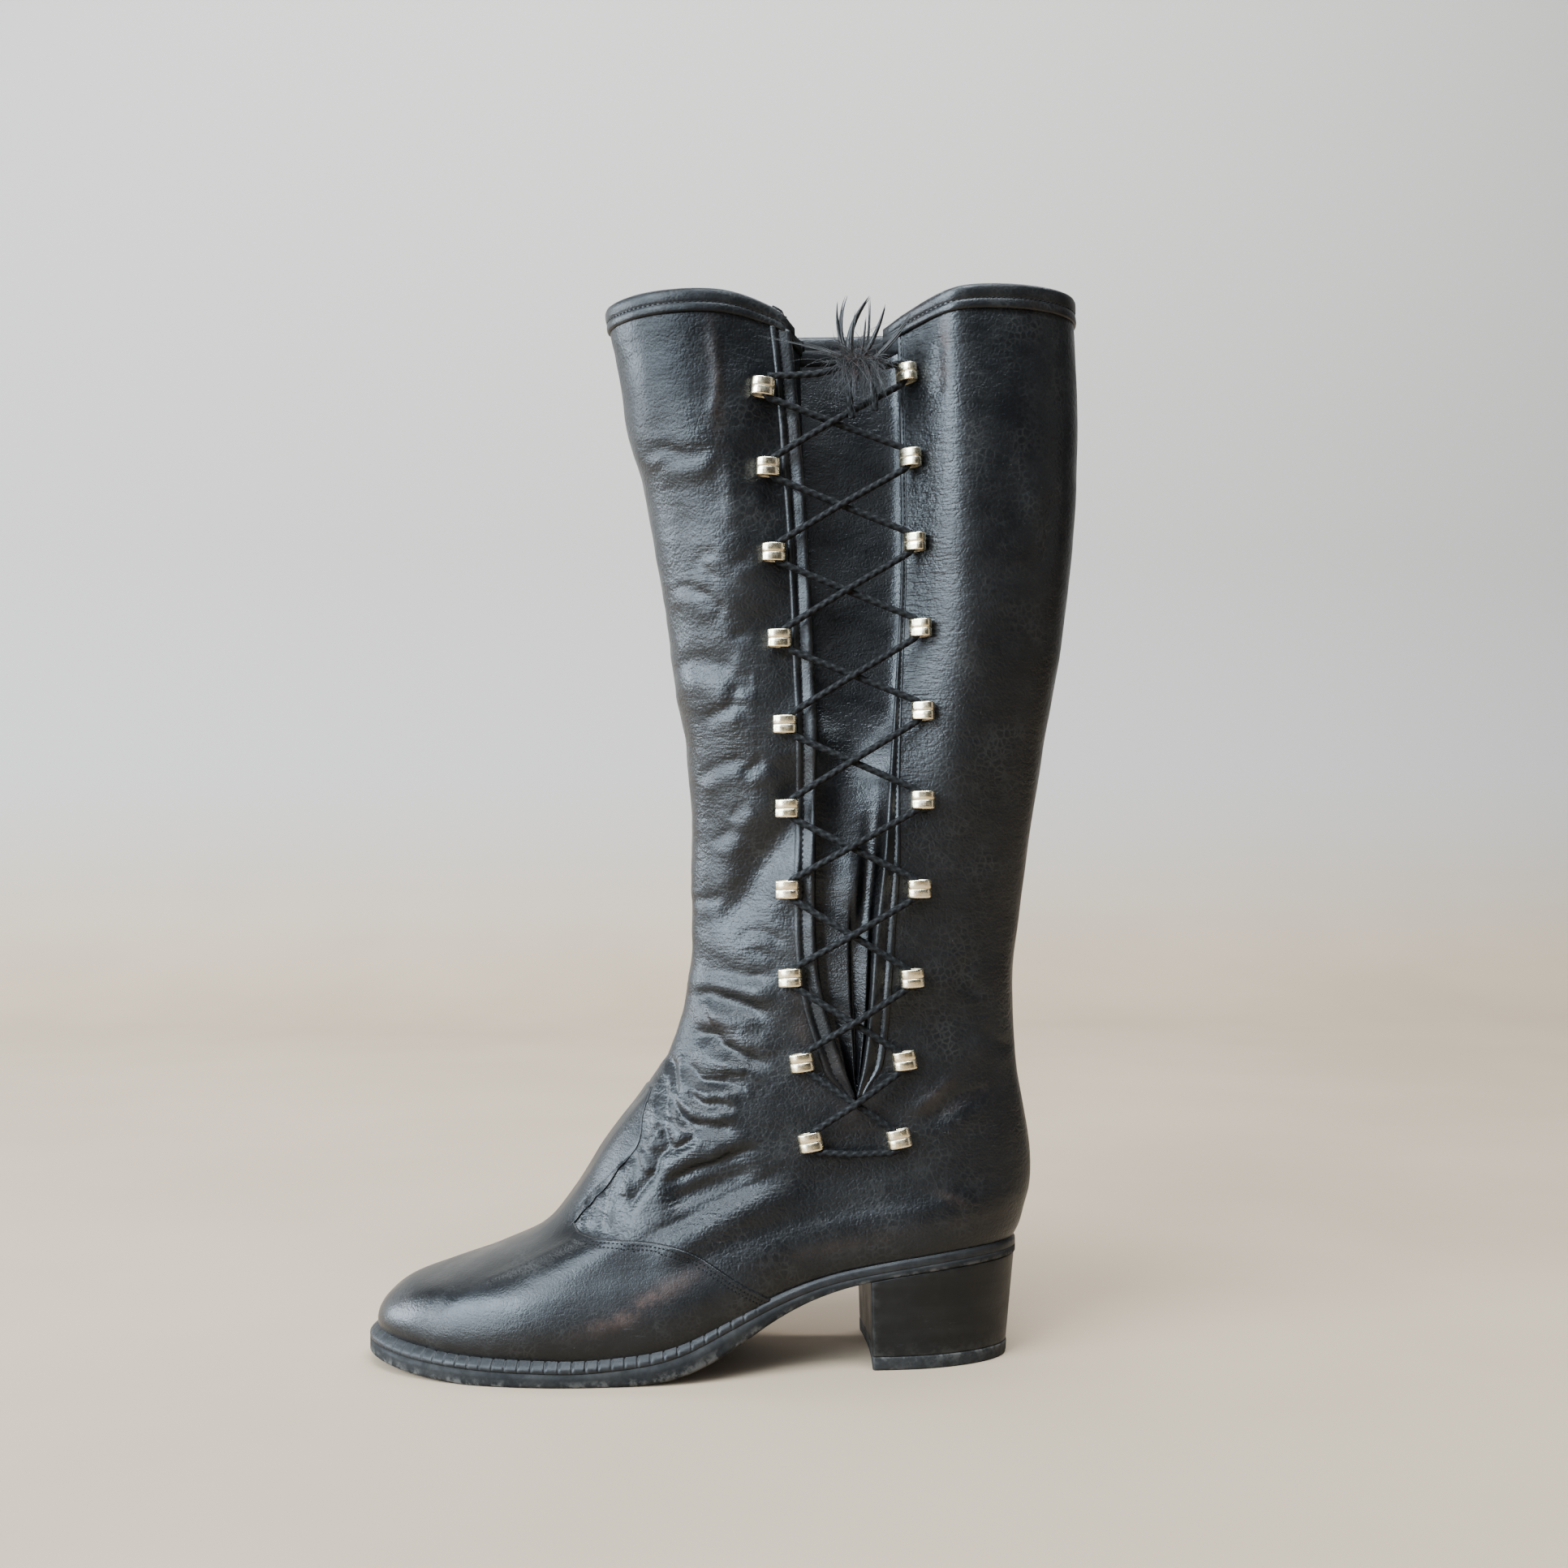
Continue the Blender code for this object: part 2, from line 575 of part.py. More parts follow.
def heel_solid(name, top_shrink, bottom_shrink, top, bottom, kind):
    angle = np.linspace(outer_angle(0.0, HEEL_BREAST_X), 0.08, 15)
    (out_top, in_top), (out_low, in_low) = heel_outline(angle, top_shrink), heel_outline(angle, bottom_shrink)
    rings = [
        [(*a, float(top(a[0]))), (*b, bottom), (*c, bottom), (*d, float(top(d[0])))]
        for a, b, c, d in zip(out_top, out_low, in_low, in_top)
    ]
    loft(name, rings, kind)


def make_heel():
    heel_solid("heel", 0.01, 0.08, lambda x: tread(x) - GAP, TOP_LIFT + GAP, "heel")
    heel_solid("top_lift", 0.075, 0.08, lambda x: TOP_LIFT, 0.0, "rubber")


# Lace, loops and tassel

def loop_profile():
    """Half section of a lace loop: a straight wall with softened rims."""
    r, h = LOOP_WIDE / 2, LOOP_TALL / 2
    ring = [(r - 0.2, -h), (r, 0.2 - h), (r, h - 0.2), (r - 0.2, h), (r - 0.9, h), (r - 0.9, -h)]
    mesh = bpy.data.meshes.new("lace_loop")
    points = [(x * MM, 0.0, z * MM) for x, z in ring]
    mesh.from_pydata(points, [(k, (k + 1) % len(points)) for k in range(len(points))], [])
    mesh.update()
    return mesh


def loop_place(index, front):
    """Centre of a lace loop with its normal, up and heelward directions."""
    x, z = LOOPS[index][:2] if front else LOOPS[index][2:]
    here, normal, up, back = at(height_row(x, z), x)
    return here + (LOOP_DEEP / 2 + GAP + 0.1) * normal, normal, up, back


def make_loops():
    mesh = loop_profile()
    for front, column in ((True, "front"), (False, "back")):
        for i in range(len(LOOPS)):
            name = f"lace_loop_{column}_{i + 1:02d}"
            centre, normal, up, back = loop_place(i, front)
            obj = bpy.data.objects.new(name, mesh.copy())
            obj.data.materials.append(material(name, "nickel"))
            BOOT.objects.link(obj)
            made = obj.modifiers.new("turn", "SCREW")
            made.axis = "Z"
            made.steps = 8
            made.render_steps = 8
            made.use_merge_vertices = True
            made.merge_threshold = 0.00001
            made.use_normal_flip = True
            deep = LOOP_DEEP / LOOP_WIDE
            up = np.cross(back, normal) * np.sign(np.cross(back, normal) @ up)
            third = np.cross(up, back)
            turn = Matrix((Vector(back), Vector(third), Vector(up))).transposed().to_4x4()
            obj.matrix_world = Matrix.Translation(Vector(centre * MM)) @ turn @ Matrix.Diagonal((1, deep, 1, 1))


def loop_mouth(index, front, upper, clear=1.7):
    """Where the lace leaves a loop, just clear of its rim."""
    centre, _, up, _ = loop_place(index, front)
    return centre + up * (LOOP_TALL / 2 + clear) * (1 if upper else -1)


def crossing(a, b, c, d):
    """Where the paths a to b and c to d cross in side view, at the outermost of their two depths."""
    ab, cd = (b - a)[[0, 2]], (d - c)[[0, 2]]
    t, u = np.linalg.solve(np.column_stack([ab, -cd]), (c - a)[[0, 2]])
    over, under = a + (b - a) * t, c + (d - c) * u
    return np.array([over[0], min(over[1], under[1]), over[2]])


def make_lace():
    for i in range(len(LOOPS) - 1):
        down = loop_mouth(i, True, False), loop_mouth(i + 1, False, True)
        rise = loop_mouth(i, False, False), loop_mouth(i + 1, True, True)
        middle = crossing(*down, *rise) - (0, LACE_BOW[i], 0)
        first = tube(f"lace_cross_{i + 1:02d}", [down[0], middle, down[1]], LACE_RADIUS, "cord")
        other = tube(f"lace_cross_{i + 1:02d}_other", [rise[0], middle, rise[1]], LACE_RADIUS, "cord")
        boolean(first, other, "UNION")
    last = len(LOOPS) - 1
    low = LOOP_TALL / 2 - 0.3
    (ahead, _, up, side), (behind, _, up_back, side_back) = loop_place(last, True), loop_place(last, False)
    ends = ahead - low * up + 5.4 * side, behind - low * up_back - 5.4 * side_back
    middle = (ends[0] + ends[1]) / 2 - (0, 1.5, 0)
    tube("lace_bar", [ends[0], middle, ends[1]], LACE_RADIUS, "cord")
    front, back = loop_mouth(0, True, True), loop_mouth(0, False, True, 2.4)
    knot = knot_centre()
    tube("lace_end_front", [front, knot - (4.3, 0, 0.5)], LACE_RADIUS, "cord")
    tube("lace_end_back", [back, knot + (4.3, 0, -0.5)], LACE_RADIUS, "cord")
    bm = bmesh.new()
    bmesh.ops.create_uvsphere(bm, u_segments=8, v_segments=6, radius=1.0)
    mesh = bpy.data.meshes.new("lace_knot")
    bm.to_mesh(mesh)
    bm.free()
    mesh.transform(Matrix.Translation(Vector(knot * MM)) @ Matrix.Diagonal((0.0036, 0.0028, 0.0030, 1)))
    obj = bpy.data.objects.new("lace_knot", mesh)
    obj.data.materials.append(material("lace_knot", "cord"))
    BOOT.objects.link(obj)


def knot_centre():
    front, back = loop_mouth(0, True, True), loop_mouth(0, False, True)
    return np.array([KNOT_X, (front[1] + back[1]) / 2, KNOT_Z])


def make_tassel():
    """A tuft of hair in front of the knot: a ball with pointed locks drawn out of its faces."""
    bm = bmesh.new()
    bmesh.ops.create_icosphere(bm, subdivisions=2, radius=5.2)
    for v in bm.verts:
        v.co = Vector((v.co.x * 1.25, v.co.y * 0.72, v.co.z * 1.1))
    bm.normal_update()
    taken = []
    for x, y, z, length in LOCKS:
        way = Vector((x, y, z)).normalized()
        free = [f for f in bm.faces if f.is_valid and f not in taken]
        face = max(free, key=lambda f: f.normal.dot(way))
        for shrink, share in ((0.80, 0.40), (0.50, 0.35), (0.15, 0.25)):
            made = bmesh.ops.extrude_discrete_faces(bm, faces=[face])
            face = made["faces"][0]
            middle = face.calc_center_median()
            for v in face.verts:
                v.co = middle + (v.co - middle) * (shrink if share < 0.4 else 0.85) + way * length * share
            bm.normal_update()
        taken.append(face)
    centre = knot_centre() + (0, -7.4, 0)
    mesh = bpy.data.meshes.new("tassel")
    bm.to_mesh(mesh)
    bm.free()
    mesh.transform(Matrix.Translation(Vector(centre * MM)) @ Matrix.Scale(MM, 4))
    obj = bpy.data.objects.new("tassel", mesh)
    obj.data.materials.append(material("tassel", "hair"))
    BOOT.objects.link(obj)
    clean(obj)


make_upper()
make_vamp()
make_collar_binding()
make_slit_binding("slit_binding_front", True)
make_slit_binding("slit_binding_back", False)
make_gusset()
make_gusset_binding()
make_outsole()
make_insole()
make_welt()
make_heel()
make_loops()
make_lace()
make_tassel()
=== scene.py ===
"""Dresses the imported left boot: creased leather, sole, lace through its loops, tassel, stitches, plain stage.

Sizes are in millimetres in the boot's own frame: toe towards -X, outer side towards -Y, floor at z = 0. Each
mesh is scaled to metres when it is made. Every surface is a grid of two parameters or a profile carried along
a path.
"""

import logging
import math
from dataclasses import dataclass
from enum import Enum, IntEnum

import bpy
import numpy as np
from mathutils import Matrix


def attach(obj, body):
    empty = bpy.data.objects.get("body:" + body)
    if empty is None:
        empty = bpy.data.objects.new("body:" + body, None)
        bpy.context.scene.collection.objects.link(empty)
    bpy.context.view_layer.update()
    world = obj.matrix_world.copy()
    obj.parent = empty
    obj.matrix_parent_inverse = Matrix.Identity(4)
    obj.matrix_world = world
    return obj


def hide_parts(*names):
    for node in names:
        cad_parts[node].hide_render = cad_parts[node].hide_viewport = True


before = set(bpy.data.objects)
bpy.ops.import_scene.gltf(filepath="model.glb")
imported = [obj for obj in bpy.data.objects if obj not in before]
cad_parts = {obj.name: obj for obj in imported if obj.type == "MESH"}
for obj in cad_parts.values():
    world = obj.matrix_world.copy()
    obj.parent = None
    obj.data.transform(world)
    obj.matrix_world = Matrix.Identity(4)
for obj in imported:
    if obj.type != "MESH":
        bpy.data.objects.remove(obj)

Array = np.ndarray
Socket = bpy.types.NodeSocket
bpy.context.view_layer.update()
MM = 0.001
WAVES = 28
PAINTED: dict = {}
log = logging.getLogger("boot")


class Col(IntEnum):
    """Columns of the table of sections."""

    FRONT_X = 0
    FRONT_Z = 1
    BACK_X = 2
    BACK_Z = 3
    OUTER = 4
    INNER = 5
    WIDEST_X = 6
    FRONT_POWER = 7
    BACK_POWER = 8
    WAIST_OUTER = 9
    WAIST_INNER = 10
    FOLLOW = 11
    DENT = 12
    DIP = 13
    SLIT_FRONT = 14
    SLIT_BACK = 15


class Side(Enum):
    """Which side of the boot a fold is on."""

    OUTER = "outer"
    INNER = "inner"
    BOTH = "both"


# One row per loop of the upper, from the feather line up to the collar.
SECTIONS = np.array([
    [-131.8, 11.8, 113.0, 45.0, 44.0, 41.0, -50, 2.05, 2.40, 7.5, 11.5, 1.00, 0, 0, 49.5, 49.5],
    [-132.3, 17.0, 115.5, 50.0, 45.5, 42.5, -50, 2.10, 2.40, 7.5, 11.0, 0.95, 0, 0, 49.5, 49.5],
    [-129.0, 23.7, 117.5, 57.0, 45.5, 42.5, -50, 2.10, 2.40, 7.0, 10.0, 0.85, 0, 0, 49.5, 49.5],
    [-121.0, 31.2, 119.4, 64.0, 43.5, 41.0, -50, 2.10, 2.45, 6.0, 8.5, 0.70, 0, 0, 49.5, 49.5],
    [-108.5, 36.3, 120.0, 71.0, 40.5, 38.5, -48, 2.10, 2.50, 5.0, 7.0, 0.50, 0, 0, 49.5, 49.5],
    [-90.0, 42.3, 119.6, 79.0, 38.0, 36.5, -38, 2.10, 2.55, 4.0, 5.5, 0.30, 0, 0, 49.5, 49.5],
    [-70.0, 51.0, 118.4, 88.0, 35.5, 34.5, -20, 2.10, 2.60, 3.5, 4.5, 0.15, 0, 0, 49.5, 49.5],
    [-57.0, 65.0, 116.8, 97.0, 33.5, 33.0, -5, 2.10, 2.60, 3.0, 3.5, 0.05, 0, 0, 49.5, 49.5],
    [-45.0, 83.5, 114.9, 108.0, 31.5, 31.5, 10, 2.10, 2.55, 2.5, 3.0, 0.00, 0, 0, 49.5, 49.5],
    [-31.0, 101.5, 113.8, 121.0, 29.5, 29.5, 25, 2.10, 2.50, 2.0, 2.0, 0.00, 0, 0, 45.0, 52.5],
    [-20.5, 117.0, 113.2, 135.0, 28.0, 28.0, 38, 2.15, 2.40, 1.0, 1.0, 0.00, 0, 0, 40.5, 54.5],
    [-15.3, 135.0, 113.3, 146.0, 27.5, 27.5, 46, 2.20, 2.35, 0.0, 0.0, 0.00, 0, 0, 36.5, 55.5],
    [-12.8, 160.0, 115.0, 162.0, 27.5, 28.0, 50, 2.20, 2.30, 0.0, 0.0, 0.00, 0, 0, 34.0, 57.0],
    [-12.5, 195.0, 119.8, 196.0, 29.5, 30.0, 52, 2.20, 2.30, 0.0, 0.0, 0.00, 2, 0, 33.8, 60.8],
    [-15.0, 232.0, 125.5, 233.0, 33.0, 32.5, 53, 2.30, 2.35, 0.0, 0.0, 0.00, 9, 0, 34.3, 63.8],
    [-20.5, 270.0, 132.2, 271.0, 36.5, 35.0, 53, 2.40, 2.45, 0.0, 0.0, 0.00, 17, 0, 33.0, 66.5],
    [-27.0, 312.0, 137.4, 314.0, 39.0, 37.0, 52, 2.50, 2.55, 0.0, 0.0, 0.00, 22, 0, 31.0, 68.2],
    [-34.5, 355.0, 139.4, 357.0, 40.0, 38.5, 50, 2.60, 2.60, 0.0, 0.0, 0.00, 25, 2, 28.0, 67.8],
    [-40.5, 388.0, 138.4, 392.0, 40.0, 39.0, 48, 2.60, 2.60, 0.0, 0.0, 0.00, 27, 8, 25.0, 67.2],
    [-43.0, 404.0, 137.6, 409.5, 40.0, 39.0, 48, 2.60, 2.60, 0.0, 0.0, 0.00, 27, 14, 23.5, 67.0],
])
# Height of the feather line and of the tread along the boot, and how far the sole stands out: x and size.
FEATHER = ((-139, 12.6), (-110, 9.9), (-75, 8.5), (-45, 8.8), (-17, 13.5), (4, 23), (18, 29.2), (34, 34.7),
           (58, 39.8), (84, 43.3), (118, 45.5))
TREAD = ((-140, 5.2), (-118, 2.0), (-94, 0), (-45, 0), (-30, 0.6), (-17, 2.6), (-5, 7.3), (6, 13.6),
         (18, 20.8), (29, 26.0), (40, 29.8), (57, 33.8), (84, 37.3), (118, 39.6))
EDGE = ((-140, 4.0), (-60, 3.8), (-20, 3.0), (20, 1.6), (50, 0.9), (118, 0.8))
# Side outline of the vamp from the sole at the waist up to the instep: x, z.
VAMP_EDGE = ((17.5, 29), (5, 36.5), (-11, 46), (-26, 50.2), (-40, 51), (-50, 51.3), (-54.5, 52.5),
             (-56.3, 55), (-54.8, 58.5), (-41, 74.5), (-32, 84.4), (-30.8, 93), (-27, 103.5))
# Lace loops from the top pair down: x and z in the front column, x and z in the back column.
LOOPS = np.array([
    (12.9, 368.8, 72.0, 377.0), (15.0, 338.8, 73.2, 344.3), (17.4, 306.9, 74.5, 311.9),
    (20.0, 274.6, 76.1, 279.0), (22.5, 242.2, 76.3, 247.2), (23.8, 210.5, 75.1, 213.6),
    (24.1, 180.0, 73.0, 180.3), (25.1, 146.6, 70.2, 146.5), (28.8, 114.9, 67.4, 115.4),
    (31.8, 85.5, 65.1, 86.5)])
# Where the back panel rolls into the dent, halfway down: row of the table of sections, x.
ROLL = ((0, 76.0), (13, 76.0), (14, 77.5), (15, 78.5), (16, 77.3), (17, 75.6), (18, 74.4), (19, 74.0))
# How far each crossing of the lace stands out, from the top down.
LACE_BOW = (0, 0, 0, 0.5, 2.0, 3.5, 4.0, 4.0, 3.5)
SKY = (0.74, 0.87, 1.0)
# Soft boxes, in metres: name, place, what it points at, width and height, watts, colour.
LIGHTS = (
    ("key_left", (-2.10, -1.76, 1.45), (0.0, 0.0, 0.2), (2.4, 1.1), 330.0, (0.70, 0.85, 1.0)),
    ("key_low", (-2.36, -1.85, 0.25), (0.0, 0.0, 0.15), (2.2, 0.4), 90.0, SKY),
    ("left_top", (-1.14, -1.35, 1.92), (0.0, 0.0, 0.15), (1.4, 0.9), 58.0, SKY),
    ("left_side", (-2.89, 0.41, 0.82), (0.0, 0.0, 0.2), (1.7, 1.0), 175.0, SKY),
    ("front", (-0.29, -2.79, 1.25), (0.0, 0.0, 0.2), (1.3, 0.8), 10.0, (0.86, 0.93, 1.0)),
    ("front_top", (0.19, -0.88, 2.16), (0.0, 0.0, 0.15), (1.3, 0.9), 115.0, (0.78, 0.89, 1.0)),
    ("fill_right", (1.7, -0.45, 0.6), (0.0, 0.0, 0.2), (0.6, 1.0), 1.6, (1.0, 0.96, 0.90)),
    ("wall_wash", (0.0, 0.7, 1.9), (0.0, 1.8, 0.5), (2.4, 0.6), 72.0, (0.88, 0.94, 1.0)),
)


def hermite(knots: Array, values: Array, at: Array) -> Array:
    """A cubic curve through knots; each knot's slope comes from its two neighbours.

    Args:
        knots: Rising positions.
        values: A value, or a row of values, at each knot.
        at: Positions to read.

    Returns:
        The value, or row of values, at each position.
    """
    at = np.asarray(at, float)
    slope = np.gradient(values, knots, axis=0)
    i = np.clip(np.searchsorted(knots, at) - 1, 0, len(knots) - 2)
    h = knots[i + 1] - knots[i]
    t = (at - knots[i]) / h
    if values.ndim == 2:
        h, t = h[..., None], t[..., None]
    start = values[i] * (2 * t**3 - 3 * t**2 + 1) + slope[i] * h * (t**3 - 2 * t**2 + t)
    return start + values[i + 1] * (3 * t**2 - 2 * t**3) + slope[i + 1] * h * (t**3 - t**2)


def table_curve(table: tuple, at: Array) -> Array:
    """Read a short table of position and size as a smooth curve.

    Args:
        table: Pairs of position and size.
        at: Positions to read.

    Returns:
        The size at each position.
    """
    knots, values = np.array(table, float).T
    return hermite(knots, values, at)


def unit(vectors: Array) -> Array:
    """Scale vectors on the last axis to length one."""
    return vectors / np.maximum(np.linalg.norm(vectors, axis=-1, keepdims=True), 1e-12)


def ease(t: Array) -> Array:
    """A soft step from 0 at t = 0 to 1 at t = 1."""
    t = np.clip(t, 0, 1)
    return t * t * (3 - 2 * t)


def bump(t: Array) -> Array:
    """A bell curve of height one and width one."""
    return np.exp(-t * t)


def run_of(path: Array) -> Array:
    """Distance along a path at each of its points."""
    return np.concatenate([[0], np.cumsum(np.linalg.norm(np.diff(path, axis=0), axis=1))])


def read_rows(at: Array, known: Array, rows: Array) -> Array:
    """Rows of values read at places between known ones."""
    return np.stack([np.interp(at, known, column) for column in rows.T], axis=1)


def squared(wave: Array, power: float) -> Array:
    """A sine or cosine drawn towards a square wave."""
    return np.sign(wave) * np.abs(wave) ** power


def full_turn(count: int) -> Array:
    """Even angles round a circle."""
    return np.linspace(0, 2 * math.pi, count, endpoint=False)


def raised(flat: Array, z: Array) -> Array:
    """Points from their plan and heights."""
    return np.concatenate([flat, z[..., None]], axis=-1)


def smooth_path(points: Array, step: float) -> Array:
    """A smooth curve through points, read at even steps of its length.

    Args:
        points: Points to pass through.
        step: Distance between two samples.

    Returns:
        Points along the curve.
    """
    points = np.asarray(points, float)
    run = run_of(points)
    fine = hermite(run, points, np.linspace(0, run[-1], 12 * len(points)))
    length = run_of(fine)
    at = np.linspace(0, length[-1], max(int(length[-1] / step), 2) + 1)
    return read_rows(at, length, fine)


def taut_path(points: Array, step: float, soften: float) -> Array:
    """A drawn line through points: straight runs whose corners are softened by a running mean.

    Args:
        points: Corners of the line.
        step: Distance between two samples.
        soften: Length over which a corner is rounded.

    Returns:
        Points along the line.
    """
    points = np.asarray(points, float)
    run = run_of(points)
    at = np.linspace(0, run[-1], max(int(run[-1] / step), 2) + 1)
    path = read_rows(at, run, points)
    half = max(int(soften / step / 2), 1)
    for _ in range(3):
        padded = np.concatenate([2 * path[:1] - path[half:0:-1], path, 2 * path[-1:] - path[-2:-half - 2:-1]])
        total = np.cumsum(np.concatenate([np.zeros((1, 3)), padded]), axis=0)
        path = (total[2 * half + 1:] - total[:-2 * half - 1]) / (2 * half + 1)
    return path


def ripples(points: Array, seed: int, shortest: float, longest: float) -> Array:
    """Uneven hand-made surface: a sum of plane waves with random directions, of mean square one.

    Args:
        points: Places to read, on the last axis.
        seed: Seed of the waves.
        shortest: Shortest wave length.
        longest: Longest wave length.

    Returns:
        The height at each place.
    """
    rng = np.random.default_rng(seed)
    way = unit(rng.normal(size=(WAVES, 3)))
    length = rng.uniform(shortest, longest, WAVES)
    phase = rng.uniform(0, 2 * math.pi, WAVES)
    waves = np.cos(points @ (way * (2 * math.pi / length)[:, None]).T + phase)
    return waves.sum(axis=-1) * math.sqrt(2 / WAVES)


def lattice(rows: int, cols: int, wrap: bool = False) -> Array:
    """Quads of a grid of points whose faces look along row direction times column direction.

    Args:
        rows: Number of rows.
        cols: Number of points in a row.
        wrap: Whether each row's end joins its start.

    Returns:
        Four point numbers per quad.
    """
    r = np.arange(rows - 1)[:, None] * cols
    c = np.arange(cols if wrap else cols - 1)[None, :]
    n = (c + 1) % cols
    return np.stack([r + c, r + cols + c, r + cols + n, r + n], axis=-1).reshape(-1, 4)


def lattice_uv(u: Array, v: Array) -> Array:
    """UV of each quad corner of a lattice, from a value per column, one more where it wraps, and per row."""
    u0, u1 = np.meshgrid(u[:-1], v[:-1])[0], np.meshgrid(u[1:], v[:-1])[0]
    v0, v1 = np.meshgrid(u[:-1], v[:-1])[1], np.meshgrid(u[:-1], v[1:])[1]
    corners = [np.stack(pair, axis=-1) for pair in ((u0, v0), (u0, v1), (u1, v1), (u1, v0))]
    return np.stack(corners, axis=2).reshape(-1, 2)


@dataclass(frozen=True)
class Last:
    """The outer face of the upper by height v, a row of the table, and by the angle round the boot.

    Angle 0 is the back, a quarter turn the outer side, a half turn the front. Each half of a loop is a
    superellipse about its widest place. The waist draws it in under the arch, and the dent draws it in where
    the lacing pulls.
    """

    midline: float = 1.7
    top: float = 19.0
    slit_foot: float = 8.0
    waist_outer_x: float = 40.0
    waist_inner_x: float = 22.0
    waist_spread: float = 32.0
    dent_x: float = 45.0
    dent_ahead: float = 36.0
    dent_ease: float = 0.45
    dent_ease_x: float = 13.0
    roll_power: float = 4.2

    def rows(self, v: Array) -> Array:
        """The table's row at each height; the slit's two edges never cross."""
        v = np.asarray(v, float)
        sec = hermite(np.arange(float(len(SECTIONS))), SECTIONS, v)
        middle = (sec[..., Col.SLIT_FRONT] + sec[..., Col.SLIT_BACK]) / 2
        wide = np.maximum(sec[..., Col.SLIT_BACK] - sec[..., Col.SLIT_FRONT], 0)
        half = wide / 2 * (v > self.slit_foot)
        sec[..., Col.SLIT_FRONT] = middle - half
        sec[..., Col.SLIT_BACK] = middle + half
        return sec

    def shell(self, v: Array, angle: Array) -> Array:
        """Points of the outer face.

        Args:
            v: Heights, as rows of the table with fractions.
            angle: Angles round the boot, of a shape that fits v.

        Returns:
            Points on the last axis.
        """
        v, angle = np.broadcast_arrays(np.asarray(v, float), np.asarray(angle, float))
        sec = np.moveaxis(self.rows(v), -1, 0)
        c, s = np.cos(angle), np.sin(angle)
        power = np.where(c >= 0, sec[Col.BACK_POWER], sec[Col.FRONT_POWER])
        reach = np.where(c >= 0, sec[Col.BACK_X], sec[Col.FRONT_X]) - sec[Col.WIDEST_X]
        x = sec[Col.WIDEST_X] + reach * np.abs(c) ** (2 / power)
        wide = np.abs(s) ** (2 / power)
        off = x - self.dent_x
        ahead = bump(np.abs(off / self.dent_ahead) ** 1.5)
        ahead = ahead * (1 - self.dent_ease * ease(-off / self.dent_ease_x))
        behind = 0.5 ** (np.abs(off / (table_curve(ROLL, v) - self.dent_x)) ** self.roll_power)
        dent = np.where(off < 0, ahead, behind)
        waist_out = sec[Col.WAIST_OUTER] * bump((x - self.waist_outer_x) / self.waist_spread)
        waist_in = sec[Col.WAIST_INNER] * bump((x - self.waist_inner_x) / self.waist_spread)
        outer = -wide * (sec[Col.OUTER] - waist_out - sec[Col.DENT] * dent)
        inner = wide * (sec[Col.INNER] - waist_in)
        along = (x - sec[Col.FRONT_X]) / (sec[Col.BACK_X] - sec[Col.FRONT_X])
        z = sec[Col.FRONT_Z] + (sec[Col.BACK_Z] - sec[Col.FRONT_Z]) * along
        low = SECTIONS[0]
        share = (x - low[Col.FRONT_X]) / (low[Col.BACK_X] - low[Col.FRONT_X])
        chord = low[Col.FRONT_Z] + (low[Col.BACK_Z] - low[Col.FRONT_Z]) * share
        z = z + sec[Col.FOLLOW] * (table_curve(FEATHER, x) - chord)
        z = z - sec[Col.DIP] * np.where(s > 0, wide, 0) * bump((x - self.dent_x) / 30)
        return np.stack([x, self.midline + np.where(s >= 0, outer, inner), z], axis=-1)

    def outer_angle(self, v: Array, x: Array) -> Array:
        """The angle on the outer side where the loop at height v has that x."""
        sec = np.moveaxis(self.rows(v), -1, 0)
        behind = (x - sec[Col.WIDEST_X]) / (sec[Col.BACK_X] - sec[Col.WIDEST_X])
        ahead = (sec[Col.WIDEST_X] - x) / (sec[Col.WIDEST_X] - sec[Col.FRONT_X])
        back = np.arccos(np.clip(behind, 0, 1) ** (sec[Col.BACK_POWER] / 2))
        front = math.pi - np.arccos(np.clip(ahead, 0, 1) ** (sec[Col.FRONT_POWER] / 2))
        return np.where(behind >= 0, back, front)

    def at(self, v: Array, x: Array) -> tuple[Array, Array, Array, Array]:
        """Points of the outer side, each with its normal and the directions up the boot and to the heel."""
        v, x = np.broadcast_arrays(np.asarray(v, float), np.asarray(x, float))
        angle = self.outer_angle(v, x)
        side = unit(self.shell(v, angle + 0.01) - self.shell(v, angle - 0.01))
        above = self.shell(v + 0.02, self.outer_angle(v + 0.02, x))
        up = unit(above - self.shell(v - 0.02, self.outer_angle(v - 0.02, x)))
        return self.shell(v, angle), unit(np.cross(up, side)), up, -side

    def row_of(self, x: Array, z: Array) -> Array:
        """The height v whose loop passes the outer side at x and z, found by halving."""
        low, high = np.zeros(np.shape(x)), np.full(np.shape(x), self.top)
        for _ in range(40):
            middle = (low + high) / 2
            under = self.shell(middle, self.outer_angle(middle, x))[..., 2] < z
            low, high = np.where(under, middle, low), np.where(under, high, middle)
        return (low + high) / 2

    def even_rows(self, first: float, last: float, count: int, closer: float = 0.0) -> Array:
        """Heights that are evenly spaced along the leather, or closer together at the ankle."""
        fine = np.linspace(first, last, 1200)
        path = self.shell(fine[:, None], np.array([1.9, math.pi, 0.05])[None, :])
        step = np.linalg.norm(np.diff(path, axis=0), axis=2).mean(axis=1)
        step = step * (1 + closer * bump((path[1:, 0, 2] - 95) / 48))
        run = np.concatenate([[0], np.cumsum(step)])
        return np.interp(np.linspace(0, run[-1], count), run, fine)

